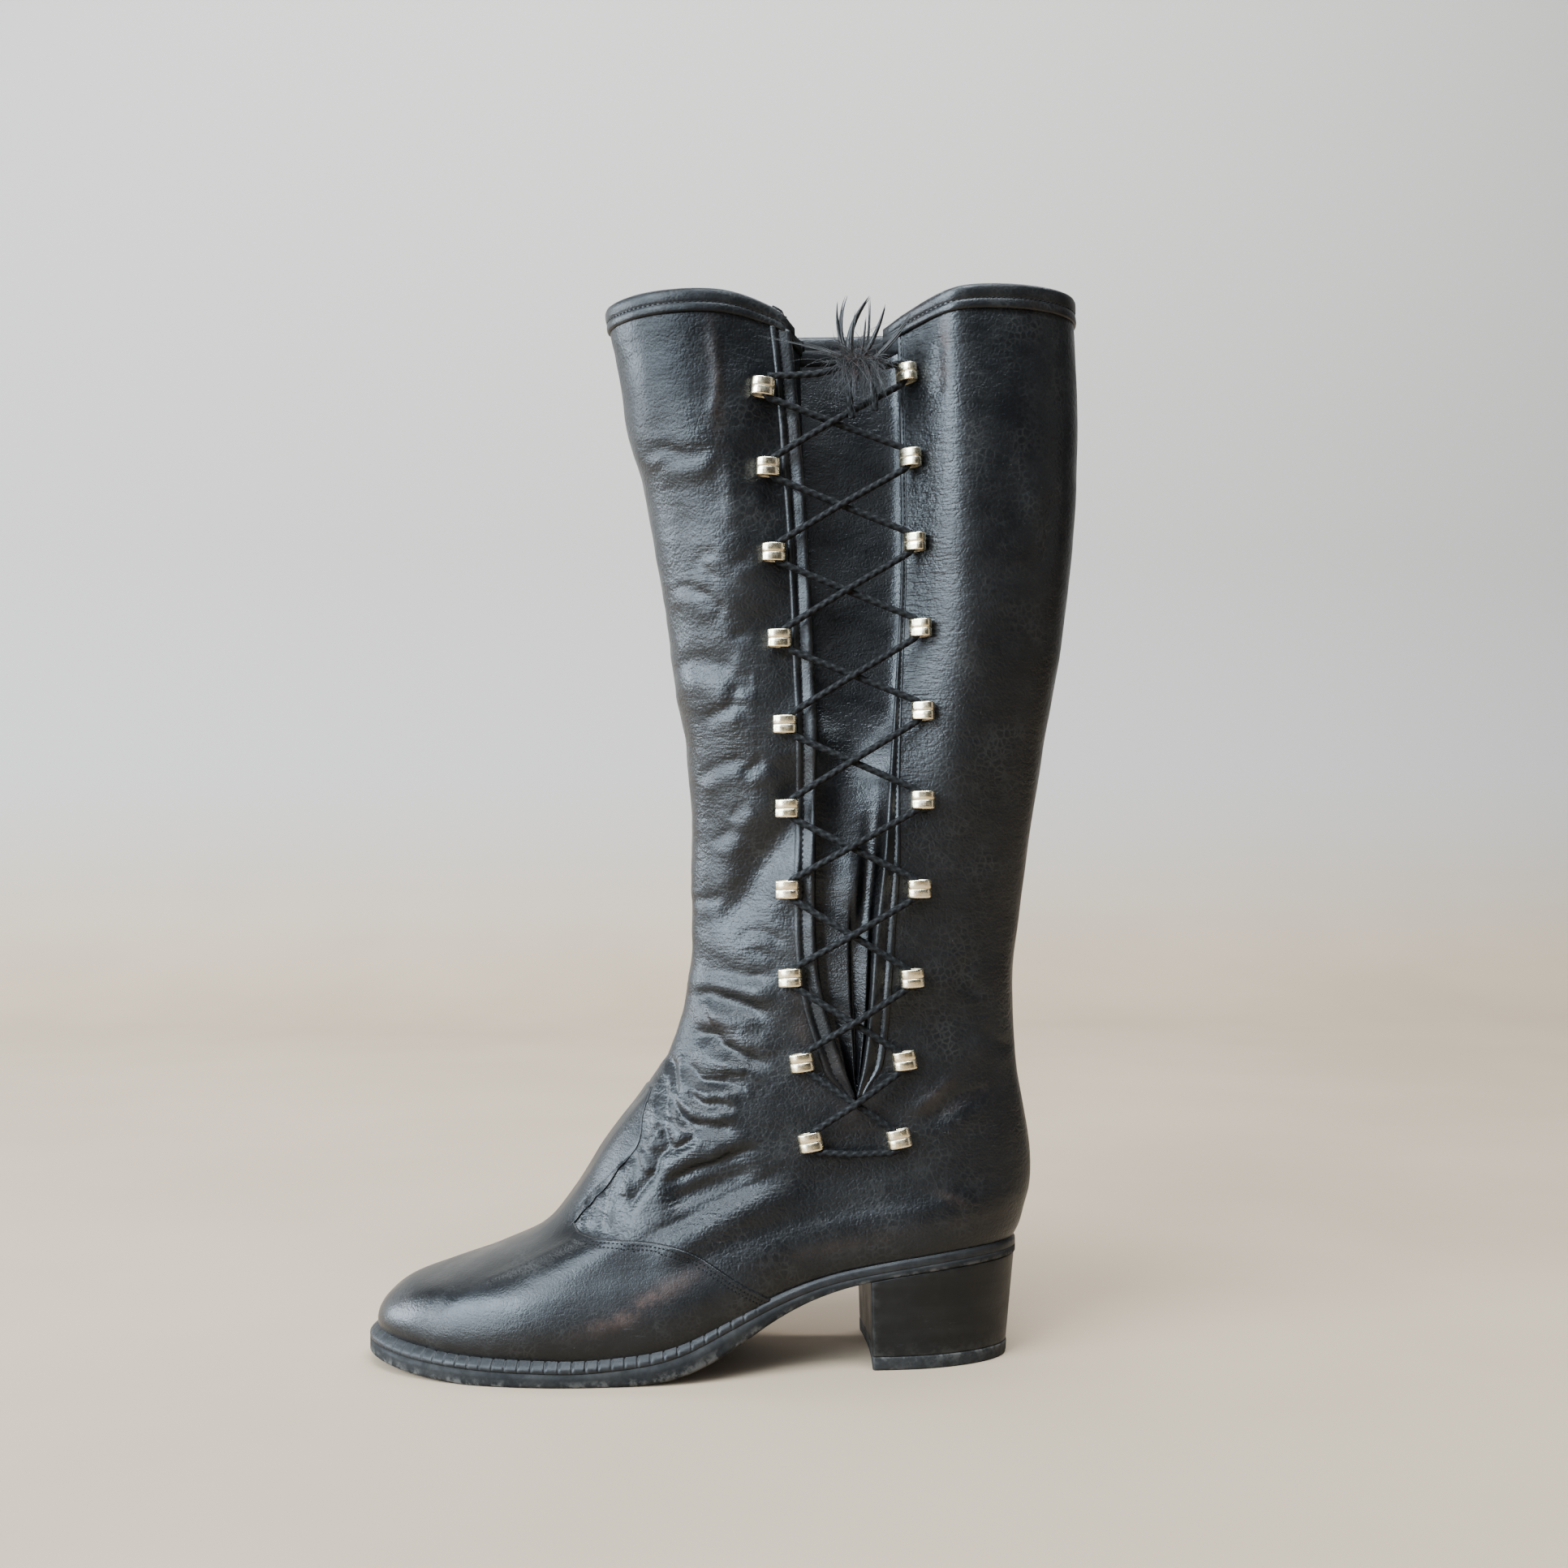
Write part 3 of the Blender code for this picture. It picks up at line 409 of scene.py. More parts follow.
    def columns(self, v: Array, count: int) -> Array:
        """Angles from the slit's front edge round the boot to its back edge, closest beside the slit."""
        sec = np.moveaxis(self.rows(v), -1, 0)
        first = self.outer_angle(v, sec[Col.SLIT_FRONT])[:, None]
        last = self.outer_angle(v, sec[Col.SLIT_BACK])[:, None] + 2 * math.pi
        u = np.linspace(0, 1, count)
        bend = 0.55 * np.sin(2 * math.pi * u) - 0.125 * np.sin(4 * math.pi * u)
        return first + (last - first) * (u - bend / (2 * math.pi))

    def normals(self, v: Array, angle: Array) -> Array:
        """Outward normals, from small steps in height and angle."""
        e = 0.006
        across = self.shell(v, angle + e) - self.shell(v, angle - e)
        up = self.shell(v + e, angle) - self.shell(v - e, angle)
        return unit(np.cross(up, across))

    def plan(self, angle: Array, offset: Array) -> Array:
        """Plan outline of the feather line, moved outward by offset."""
        p = self.shell(np.zeros_like(angle), angle)
        d = (self.shell(0.0, angle + 0.004) - self.shell(0.0, angle - 0.004))[..., :2]
        normal = unit(np.stack([-d[..., 1], d[..., 0]], axis=-1))
        return p[..., :2] + normal * np.reshape(offset, np.shape(angle) + (1,))

    def edge_width(self, angle: Array) -> Array:
        """How far the sole stands out at an angle of the feather line."""
        return table_curve(EDGE, self.shell(0.0, angle)[..., 0])


LAST = Last()


@dataclass(frozen=True)
class Fold:
    """A narrow trough or a soft ridge along a path in side view, with a broad swell on either side of it."""

    path: tuple
    width: float
    depth: float
    swell: float = 0.0
    side: Side = Side.OUTER
    above: float = 0.0
    spread: float = 0.0


# Folds of the leather as the boot has them: x and z of the path, width, depth, the swell below it, its side,
# the swell above it and how far off the swells lie.
FOLDS = (
    Fold(((-31, 345.8), (-23.2, 347.5), (-15.2, 344.7), (-1.8, 346.8)), 1.3, -0.9, 0.7),
    Fold(((-24.9, 342.6), (-13.1, 341.6), (-3.6, 342.9)), 1.2, -0.6, 0.5),
    Fold(((-5.5, 396), (-3.0, 372.9), (-5.3, 352)), 2.0, 0.8),
    Fold(((0.9, 346.9), (2.1, 331.8), (2.1, 314)), 4.0, 0.7),
    Fold(((-13.3, 304.2), (-8.3, 306.4), (-2.4, 307.6)), 1.1, -0.7, 0.4),
    Fold(((-15.0, 300.4), (-10.3, 302.6), (-2.5, 297.1)), 1.1, -0.8, 0.4),
    Fold(((-19.8, 296.8), (-11.2, 293.6), (-2.5, 289.4)), 1.2, -0.8, 0.5),
    Fold(((-12.4, 287.3), (-1.3, 286.9), (-5.1, 279.9)), 1.2, -0.6, 0.4),
    Fold(((1.0, 301.5), (11.0, 305.9)), 1.2, -0.5, 0.4),
    Fold(((2.0, 275.3), (11.1, 277.9)), 1.2, -0.5, 0.4),
    Fold(((3.0, 259.6), (10.9, 262.3)), 1.2, -0.5, 0.4),
    Fold(((-18.6, 268.5), (-6.8, 265.3), (5, 263.5)), 5.0, -1.6, 1.2),
    Fold(((-9.2, 244), (-1, 248), (4.7, 249.9), (10.2, 248.0)), 1.4, -1.0, 0.7),
    Fold(((1.4, 254.8), (11.4, 258.3)), 1.3, -0.7, 0.5),
    Fold(((-11.9, 221.2), (-2.5, 227.2), (9.8, 229.8)), 1.7, -1.0, 0.7),
    Fold(((5.2, 222.4), (15.5, 230.8)), 1.5, -0.9, 0.6),
    Fold(((0.5, 206.4), (8.5, 213.8)), 1.6, -0.8, 0.6),
    Fold(((-6.5, 196.4), (3.5, 203.8)), 1.6, -0.8, 0.6),
    Fold(((33, 238), (29, 219), (25, 204), (13.9, 190), (3.5, 171), (-6, 156)), 8.5, -3.8),
    Fold(((34, 210), (30, 192), (24, 172)), 8.0, 0.9),
    Fold(((2.7, 160.8), (11.9, 164.0), (23.9, 159.6)), 1.6, -1.2, 0.8),
    Fold(((6.2, 157.4), (13.2, 156.6), (20.6, 154.5)), 1.4, -0.8, 0.6),
    Fold(((-14.6, 145.5), (-2.2, 148.0), (8.4, 146.8), (20.5, 148.8)), 2.2, -1.2, 1.0),
    Fold(((-13.0, 175.5), (-6.9, 176.1), (-0.6, 176.8)), 1.1, -0.6, 0.4),
    Fold(((-12.6, 134.8), (-10.4, 137.4), (-6.0, 139.8), (-1.7, 138.9), (4.5, 137.3), (9.3, 135.5),
          (17.4, 131.6)), 2.2, -1.9, 1.8, Side.BOTH, 1.2),
    Fold(((-14, 124.0), (-6.0, 124.8), (-2.4, 124.3), (-1.1, 121.5), (2.4, 119.5), (6.2, 117.4),
          (12.6, 115.2), (19, 113)), 1.8, -1.7, 1.4, Side.BOTH, 1.3),
    Fold(((-16.7, 116.0), (-11.8, 111.5), (-7.8, 107.7), (-3.9, 107.5), (0.9, 107.1), (9.1, 103.5)),
         1.8, -1.7, 1.3, Side.BOTH, 1.1),
    Fold(((-1.4, 110.4), (4.0, 109.8), (11.0, 110.4)), 1.5, -1.0, 0.5, Side.OUTER, 0.6),
    Fold(((-13.9, 105.4), (-10.4, 100.8), (-7.2, 99.2), (-1.6, 99.5), (4.7, 97.0)),
         1.5, -1.7, 1.0, Side.BOTH, 1.0),
    Fold(((-18.4, 101.4), (-15.6, 95.2), (-12.2, 92.6), (-5.9, 92.0), (-2.3, 91.8), (4.7, 89.0)),
         1.5, -1.6, 0.8, Side.BOTH, 1.0),
    Fold(((-19.8, 116.7), (-18.3, 108.2), (-16.6, 99.7)), 1.1, -1.1, 0.6, Side.OUTER, 0.9),
    Fold(((-21.5, 109.2), (-22.0, 100.9), (-22.1, 96.6), (-20.1, 91.0)), 0.9, -1.1, 0.6, Side.OUTER, 0.6),
    Fold(((-23.0, 93.5), (-21.0, 87.7), (-19.4, 82.6)), 0.8, -0.9, 0.5, Side.OUTER, 0.5),
    Fold(((-19.8, 103.1), (-17.0, 96.1), (-14.4, 91.0)), 0.9, -1.0, 0.5, Side.OUTER, 0.6),
    Fold(((-20.5, 82.0), (-14.3, 85.4), (-9.9, 88.4)), 0.8, -0.9, 0.5, Side.OUTER, 0.5),
    Fold(((-25.9, 70.1), (-17.3, 73.7), (-10.0, 76.7), (-3.2, 78.5), (3.7, 81.6), (13.7, 84.5)),
         1.2, -1.7, 0.2, Side.OUTER, 0.8),
    Fold(((-19.8, 88.6), (-20.7, 83.2), (-23.6, 80.4), (-25.7, 74.4), (-29.2, 70.2), (-32.1, 66.5),
          (-36.9, 58.0)), 0.9, -1.1, 0.5, Side.OUTER, 0.3),
    Fold(((-21.6, 92.0), (-26.0, 86.7), (-28.9, 80.6)), 1.7, 1.2),
    Fold(((-31.0, 82.7), (-29.9, 77.7), (-26.5, 73.4)), 1.7, 1.2),
    Fold(((-37.4, 77.1), (-40.4, 69.6), (-43.3, 61.9)), 1.7, 1.2),
    Fold(((-33.9, 79.0), (-36.3, 70.2), (-38.0, 64.1)), 1.7, 1.2),
    Fold(((-45.8, 66.8), (-48.7, 58.1), (-50.6, 52.6)), 1.7, 1.1),
    Fold(((-51.0, 63.0), (-53.2, 56.6), (-54.6, 52.0)), 1.2, 0.7),
    Fold(((-41.8, 65.4), (-43.1, 59.1), (-44.0, 52.5)), 1.7, 0.9),
    Fold(((-25.1, 64.4), (-16.2, 66.2), (-8.3, 69.0), (0.8, 72.2), (12.5, 77.5)), 5.0, -2.6, 0.0, Side.BOTH),
    Fold(((-33.7, 51.0), (-20.0, 56.4), (-12.9, 59.5), (-5.1, 63.6), (3.3, 67.4), (11.6, 70.8), (26.0, 78.0)),
         1.5, -0.8, 1.7, Side.BOTH, 0.0, 8.0),
    Fold(((69.6, 94.3), (78.9, 101.9), (88.3, 110.0)), 2.2, 0.6, -0.5, Side.BOTH),
    Fold(((75.3, 91.5), (90.7, 101.6), (102.7, 104.2)), 2.4, -0.7, 0.6, Side.BOTH),
    Fold(((81.1, 391), (81.5, 378.1), (81.4, 364)), 1.0, -0.9, 0.2),
    Fold(((126.1, 333.8), (124.3, 321.0), (122.3, 300.5)), 2.4, -0.6, 0.4),
    Fold(((95.1, 156.0), (91.7, 146.0), (101.2, 138.3)), 2.2, -0.5, 0.4),
    Fold(((98, 128), (106, 121), (113, 118)), 2.0, -0.6, 0.5, Side.BOTH),
    Fold(((-20, 240), (-2, 236), (20, 239)), 2.2, -0.8, 0.6, Side.INNER),
    Fold(((-14, 205), (4, 199), (28, 203)), 2.4, -0.9, 0.7, Side.INNER),
    Fold(((-12, 166), (8, 170), (34, 163)), 2.4, -1.1, 0.9, Side.INNER),
    Fold(((28, 300), (52, 304), (80, 298)), 3.0, -0.7, 0.5, Side.INNER),
)
# Brown worn places, and at the first one on the vamp's side a painted coppery sheen: x, z, half length, half
# height, tilt in degrees and strength.
RUBBED_AND_SHEEN = (
    # The first place, on the vamp's side, is brown wear with a painted coppery sheen.
    (-30.0, 29.5, 13.0, 3.2, 30, 0.45), (-44.0, 22.5, 12.0, 2.6, 16, 0.2), (-14.0, 38.5, 7.0, 3.0, 30, 0.15),
    (83.0, 386.0, 1.6, 16.0, 0, 0.5), (-4.0, 372.0, 2.5, 20.0, 4, 0.25), (80.0, 102.0, 14.0, 2.6, 38, 0.2),
    (92.0, 100.0, 12.0, 2.2, 28, 0.15), (50.0, 96.0, 9.0, 9.0, 0, 0.15), (30.0, 118.0, 3.0, 16.0, 6, 0.2),
    (28.0, 150.0, 3.0, 22.0, 0, 0.15), (-3.0, 128.0, 12.0, 4.0, -25, 0.15), (85.0, 64.0, 7.0, 1.6, -22, 0.25),
    (40.0, 47.0, 30.0, 2.5, 10, 0.15), (-118.0, 24.0, 9.0, 4.0, 0, 0.1), (100.0, 56.0, 14.0, 2.0, 6, 0.15),
)
# Finely wrinkled places, in the same sizes.
WRINKLED = (
    (-8.0, 83.0, 15.0, 6.0, 20, 0.9), (-2.0, 58.0, 22.0, 6.0, 25, 0.6), (12.0, 160.0, 16.0, 12.0, 0, 0.7),
    (2.0, 235.0, 14.0, 24.0, 0, 0.6), (-8.0, 298.0, 12.0, 12.0, 0, 0.6), (-16.0, 345.0, 16.0, 6.0, 0, 0.6),
    (-2.0, 120.0, 16.0, 18.0, 0, 0.5), (-36.0, 70.0, 14.0, 8.0, 55, 0.4),
)
# Places handled until dull, in the same sizes.
DULLED = ((-16.0, 388.0, 23.0, 40.0, 0, 0.68),)


@dataclass(frozen=True)
class Hide:
    """The leather as it has set in wear: placed folds on a gently uneven skin, and its worn places."""

    folds: tuple = FOLDS
    side_blend: float = 14.0
    front_swell: float = 3.6
    front_from: float = 325.0
    front_x: float = -27.0

    def outer_share(self, spots: Array) -> Array:
        """How much each point is on the outer side."""
        return ease(0.5 - (spots[:, 1] - LAST.midline) / self.side_blend)

    def fold_height(self, fold: Fold, flat: Array, weight: Array) -> Array:
        """Height of one fold: a trough, steep above its path and gentle below, or a bell, and its swells.

        Args:
            fold: The fold.
            flat: Side view x and z of the points.
            weight: How much each point is on the fold's side.

        Returns:
            The height at each point.
        """
        path = smooth_path(np.array([(x, 0.0, z) for x, z in fold.path]), 0.8)[:, [0, 2]]
        reach = 5 * fold.width + 6 + 1.5 * fold.spread
        low, high = path.min(axis=0) - reach, path.max(axis=0) + reach
        near = np.where(((flat > low) & (flat < high)).all(axis=1) & (weight > 0))[0]
        height = np.zeros(len(flat))
        if len(near) == 0:
            return height
        away = flat[near][:, None, :] - path[None, :, :]
        nearest = np.argmin((away**2).sum(axis=2), axis=1)
        gap = away[np.arange(len(near)), nearest]
        way = unit(np.gradient(path, axis=0))[nearest]
        over = np.sign(way[:, 0] * gap[:, 1] - way[:, 1] * gap[:, 0]) * np.linalg.norm(gap, axis=1)
        share = nearest / (len(path) - 1)
        fade = ease(share / 0.25) * ease((1 - share) / 0.25)
        round_end = 0.5 * fold.width
        steep = np.exp(-(np.hypot(over, round_end) - round_end) / (0.7 * fold.width))
        cusp = np.where(over > 0, steep, bump(over / (2.6 * fold.width)))
        trough = fold.depth * (bump(over / fold.width) if fold.depth > 0 or fold.width > 3.5 else cusp)
        broad = fold.spread or 1.6 * fold.width + 2.2
        below, above = (bump((over + off) / (0.8 * broad)) for off in (broad, -broad))
        height[near] = (trough + fold.swell * below + fold.above * above) * fade * weight[near]
        return height

    def relief(self, points: Array) -> Array:
        """Height of the skin above its smooth form at points of the outer face."""
        spots = points.reshape(-1, 3)
        flat = spots[:, [0, 2]]
        outer = self.outer_share(spots)
        weights = {Side.OUTER: outer, Side.INNER: 1 - outer, Side.BOTH: 0.45 + 0.55 * outer}
        total = np.zeros(len(spots))
        for fold in self.folds:
            total += self.fold_height(fold, flat, weights[fold.side])
        x, z = flat.T
        shaft = ease((z - 70) / 50) * (0.22 - 0.15 * ease((x - 40) / 40))
        total += (0.05 + shaft) * ripples(spots, 5, 18, 60)
        total += self.front_swell * ease((z - self.front_from) / 40) * bump((x - self.front_x) / 24) * outer
        total += 0.06 * ease((z - 60) / 40) * ease((60 - x) / 40) * ripples(spots, 9, 6, 14)
        return total.reshape(points.shape[:-1])

    def patches(self, points: Array, table: tuple) -> Array:
        """How much each point lies in the places of a table: soft ellipses in side view on the outer side."""
        spots = points.reshape(-1, 3)
        total = np.zeros(len(spots))
        for x, z, long, tall, tilt, strength in table:
            c, s = math.cos(math.radians(tilt)), math.sin(math.radians(tilt))
            dx, dz = spots[:, 0] - x, spots[:, 2] - z
            total += strength * bump(np.hypot((dx * c + dz * s) / long, (dz * c - dx * s) / tall))
        return (np.clip(total, 0, 1) * self.outer_share(spots)).reshape(points.shape[:-1])


HIDE = Hide()


class Nodes:
    """A node tree with short calls to add and join nodes."""

    def __init__(self, tree: bpy.types.NodeTree) -> None:
        """Keep the tree."""
        self.tree = tree

    def add(self, kind: str, inputs: dict | None = None, **settings: object) -> bpy.types.Node:
        """Add a node; an input that is a socket is joined, any other is set as its value.

        Args:
            kind: Node type.
            inputs: Values or sockets by input name or number.
            settings: The node's own settings.

        Returns:
            The new node.
        """
        node = self.tree.nodes.new(kind)
        for name, value in settings.items():
            setattr(node, name, value)
        for name, value in (inputs or {}).items():
            self.put(node, name, value)
        return node

    def put(self, node: bpy.types.Node, name: str | int, value: object) -> None:
        """Set or join one input of a node."""
        if isinstance(value, Socket):
            self.tree.links.new(value, node.inputs[name])
        else:
            node.inputs[name].default_value = value

    def noise(self, vector: object, scale: float, detail: float = 3.0, rough: float = 0.55) -> Socket:
        """A noise value."""
        inputs = {"Vector": vector, "Scale": scale, "Detail": detail, "Roughness": rough}
        return self.add("ShaderNodeTexNoise", inputs).outputs["Fac"]

    def cells(self, vector: object, scale: object, feature: str = "F1") -> Socket:
        """Distance to the nearest cell point or edge."""
        made = self.add("ShaderNodeTexVoronoi", {"Vector": vector, "Scale": scale}, feature=feature)
        return made.outputs["Distance"]

    def math(self, what: str, a: object, b: object = 0.0, clamp: bool = False) -> Socket:
        """One sum on two values."""
        return self.add("ShaderNodeMath", {0: a, 1: b}, operation=what, use_clamp=clamp).outputs[0]

    def times(self, a: object, b: object, clamp: bool = False) -> Socket:
        """Two values multiplied."""
        return self.math("MULTIPLY", a, b, clamp)

    def plus(self, a: object, b: object, clamp: bool = False) -> Socket:
        """Two values added."""
        return self.math("ADD", a, b, clamp)

    def minus(self, a: object, b: object, clamp: bool = False) -> Socket:
        """One value less another."""
        return self.math("SUBTRACT", a, b, clamp)

    def band(self, value: object, low: float, high: float, out_low: float = 0.0,
             out_high: float = 1.0) -> Socket:
        """A value mapped softly from one range to another."""
        made = self.add("ShaderNodeMapRange", {0: value, 1: low, 2: high, 3: out_low, 4: out_high},
                        interpolation_type="SMOOTHSTEP")
        return made.outputs[0]

    def mix(self, share: object, a: object, b: object) -> Socket:
        """Two colours mixed; a colour is a socket or three values."""
        a, b = ((*c, 1) if isinstance(c, tuple) else c for c in (a, b))
        return self.add("ShaderNodeMix", {0: share, 6: a, 7: b}, data_type="RGBA").outputs[2]

    def stretch(self, vector: object, scale: tuple, turn: tuple = (0, 0, 0)) -> Socket:
        """Coordinates stretched and turned."""
        return self.add("ShaderNodeMapping", {"Vector": vector, "Scale": scale, "Rotation": turn}).outputs[0]

    def mark(self, name: str) -> Socket:
        """A value that the mesh carries at each point."""
        return self.add("ShaderNodeAttribute", attribute_name=name).outputs["Fac"]


def new_group(name: str, inputs: dict, outputs: tuple) -> tuple[Nodes, dict, bpy.types.Node]:
    """Start a shader node group.

    Args:
        name: Name of the group.
        inputs: Socket type and first value by name.
        outputs: Names of value outputs.

    Returns:
        Its nodes, its input sockets by name and its output node.
    """
    tree = bpy.data.node_groups.new(name, "ShaderNodeTree")
    for key, (kind, value) in inputs.items():
        socket = tree.interface.new_socket(key, in_out="INPUT", socket_type=kind)
        if value is not None:
            socket.default_value = value
    for key in outputs:
        tree.interface.new_socket(key, in_out="OUTPUT", socket_type="NodeSocketFloat")
    nodes = Nodes(tree)
    given = nodes.add("NodeGroupInput")
    return nodes, {key: given.outputs[key] for key in inputs}, nodes.add("NodeGroupOutput")


def build_groups() -> None:
    """Make the effects that several finishes share: leather grain, scratches and dust."""
    vector, value = "NodeSocketVector", "NodeSocketFloat"
    n, given, out = new_group("grain", {"Vector": (vector, None), "Scale": (value, 800.0)},
                              ("Height", "Pores"))
    warp = n.add("ShaderNodeTexNoise", {"Vector": given["Vector"], "Scale": 260.0, "Detail": 2.0})
    bent = n.add("ShaderNodeMix", {0: 0.0012, 4: given["Vector"], 5: warp.outputs["Color"]},
                 data_type="VECTOR")
    pebble = n.band(n.cells(bent.outputs[1], given["Scale"]), 0.05, 0.75, 1.0, 0.0)
    furrow = n.band(n.cells(bent.outputs[1], n.times(given["Scale"], 0.42), "DISTANCE_TO_EDGE"), 0.0, 0.22)
    fine = n.add("ShaderNodeTexNoise", {"Vector": given["Vector"], "Scale": n.times(given["Scale"], 2.3)})
    height = n.plus(n.times(pebble, 0.45), n.times(furrow, 0.35))
    n.put(out, "Height", n.plus(height, n.times(fine.outputs["Fac"], 0.25)))
    n.put(out, "Pores", n.minus(1.0, furrow, clamp=True))
    n, given, out = new_group("scratches", {"Vector": (vector, None), "Amount": (value, 0.5)}, ("Mask",))
    long = n.noise(n.stretch(given["Vector"], (1.0, 1.0, 9.0), (0.2, 0.5, 0.4)), 160.0, 4.0, 0.7)
    cross = n.noise(n.stretch(given["Vector"], (8.0, 1.0, 1.0), (0.6, 0.1, 0.9)), 120.0, 4.0, 0.7)
    patch = n.band(n.noise(given["Vector"], 38.0), 0.42, 0.72)
    lines = n.math("MAXIMUM", n.band(long, 0.62, 0.74), n.band(cross, 0.64, 0.76))
    n.put(out, "Mask", n.times(n.times(lines, patch), given["Amount"], clamp=True))
    n, given, out = new_group("dust", {"Vector": (vector, None), "Amount": (value, 0.5)}, ("Mask", "Specks"))
    cloud = n.band(n.noise(given["Vector"], 60.0, 5.0, 0.65), 0.40, 0.78)
    speck = n.band(n.cells(given["Vector"], 420.0), 0.02, 0.10, 1.0, 0.0)
    some = n.band(n.noise(given["Vector"], 90.0), 0.56, 0.66)
    n.put(out, "Mask", n.times(cloud, given["Amount"], clamp=True))
    n.put(out, "Specks", n.times(n.times(speck, some), given["Amount"], clamp=True))


@dataclass(frozen=True)
class Finish:
    """What all finishes share: a material with one shader, and the object's own coordinates."""

    name: str

    def begin(self) -> tuple[bpy.types.Material, Nodes, bpy.types.Node, Socket]:
        """A new material with its nodes, its shader and the object's coordinates."""
        made = bpy.data.materials.new(self.name)
        made.use_nodes = True
        nodes = Nodes(made.node_tree)
        place = nodes.add("ShaderNodeTexCoord").outputs["Object"]
        return made, nodes, made.node_tree.nodes["Principled BSDF"], place

    def group(self, nodes: Nodes, name: str, inputs: dict) -> bpy.types.Node:
        """Place a shared effect with its own values."""
        return nodes.add("ShaderNodeGroup", inputs, node_tree=bpy.data.node_groups[name])

    def relief(self, nodes: Nodes, shader: bpy.types.Node, layers: tuple) -> None:
        """Chain bumps into the shader's normal: pairs of a height socket and its depth in metres."""
        normal = None
        for height, depth in layers:
            made = nodes.add("ShaderNodeBump", {"Height": height, "Distance": depth, "Strength": 1.0})
            if normal is not None:
                nodes.put(made, "Normal", normal)
            normal = made.outputs["Normal"]
        nodes.put(shader, "Normal", normal)

    def build(self) -> bpy.types.Material:
        """Make the material, or fetch it if it is made already."""
        if self.name not in PAINTED:
            PAINTED[self.name] = self.paint()
        return PAINTED[self.name]

    def paint(self) -> bpy.types.Material:
        """Make the material."""
        raise NotImplementedError


@dataclass(frozen=True)
class Leather(Finish):
    """Dyed leather: pebbled grain, uneven gloss, brown worn places (on the vamp also a painted coppery sheen),
    scratches and dust in the furrows.
    """

    colour: tuple = (0.0018, 0.0019, 0.0022)
    faded: tuple = (0.0038, 0.0038, 0.0040)
    rubbed_and_sheen: tuple = (0.045, 0.026, 0.019)
    gloss: tuple = (0.33, 0.46)
    grain: float = 900.0
    depth: float = 0.00012
    wrinkle: float = 0.00026
    dust: float = 0.2
    shine: float = 0.30

    def paint(self) -> bpy.types.Material:
        """Make the material."""
        made, n, shader, place = self.begin()
        grain = self.group(n, "grain", {"Vector": place, "Scale": self.grain})
        scratch = self.group(n, "scratches", {"Vector": place, "Amount": 0.55})
        dust = self.group(n, "dust", {"Vector": place, "Amount": self.dust})
        broad = n.noise(place, 22.0, 4.0, 0.6)
        tone = n.mix(n.band(broad, 0.35, 0.72), self.colour, self.faded)
        # Worn places are brown; on the vamp's side the same mask paints a coppery sheen.
        worn = n.times(n.mark("rub_and_sheen"), n.band(n.noise(place, 130.0, 5.0, 0.7), 0.30, 0.66))
        tone = n.mix(worn, tone, self.rubbed_and_sheen)
        tone = n.mix(n.times(scratch.outputs["Mask"], 0.5), tone, (0.06, 0.058, 0.056))
        tone = n.mix(n.times(dust.outputs["Specks"], 0.8), tone, (0.30, 0.28, 0.25))
        powder = n.times(dust.outputs["Mask"], n.times(grain.outputs["Pores"], 0.5))
        n.put(shader, "Base Color", n.mix(powder, tone, (0.10, 0.095, 0.085)))
        rough = n.band(n.noise(place, 48.0, 4.0, 0.6), 0.30, 0.70, *self.gloss)
        rough = n.plus(rough, n.times(worn, 0.12))
        n.put(shader, "Roughness", n.plus(rough, n.times(dust.outputs["Mask"], 0.10), clamp=True))
        crumple = n.noise(n.stretch(place, (1.0, 1.0, 2.6)), 150.0, 3.0, 0.6)
        creep = n.times(n.noise(n.stretch(place, (0.5, 0.5, 3.2)), 330.0, 2.0), n.mark("bent"))
        self.relief(n, shader, ((crumple, self.wrinkle), (creep, 0.0005),
                                (grain.outputs["Height"], self.depth),
                                (n.minus(0.0, scratch.outputs["Mask"]), 0.00005)))
        dull = n.times(n.mark("dull"), self.shine)
        n.put(shader, "Specular IOR Level", n.minus(self.shine, dull))
        return made


@dataclass(frozen=True)
class SoleEdge(Finish):
    """Inked sole or heel covering: fine fibre lines, scuffed light edges and caked dust."""

    colour: tuple = (0.0075, 0.0073, 0.007)
    scuff: tuple = (0.060, 0.056, 0.050)
    gloss: tuple = (0.42, 0.62)
    lines: float = 900.0
    dirt: float = 0.5

    def paint(self) -> bpy.types.Material:
        """Make the material."""
        made, n, shader, place = self.begin()
        scratch = self.group(n, "scratches", {"Vector": place, "Amount": 0.9})
        dust = self.group(n, "dust", {"Vector": place, "Amount": self.dirt})
        fibre = n.noise(n.stretch(place, (0.08, 0.08, 1.0)), self.lines, 3.0)
        tone = n.mix(n.band(fibre, 0.35, 0.70), self.colour, tuple(2.2 * c for c in self.colour))
        tone = n.mix(scratch.outputs["Mask"], tone, self.scuff)
        edge = n.times(n.mark("edge"), n.band(n.noise(place, 240.0, 4.0, 0.7), 0.42, 0.62))
        tone = n.mix(edge, tone, self.scuff)
        n.put(shader, "Base Color", n.mix(n.times(dust.outputs["Mask"], 0.22), tone, (0.11, 0.10, 0.085)))
        n.put(shader, "Roughness", n.band(n.noise(place, 70.0), 0.3, 0.7, *self.gloss))
        n.put(shader, "Specular IOR Level", 0.25)
        self.relief(n, shader, ((fibre, 0.00012), (n.noise(place, 900.0), 0.00008),
                                (n.minus(0.0, scratch.outputs["Mask"]), 0.00010)))
        return made


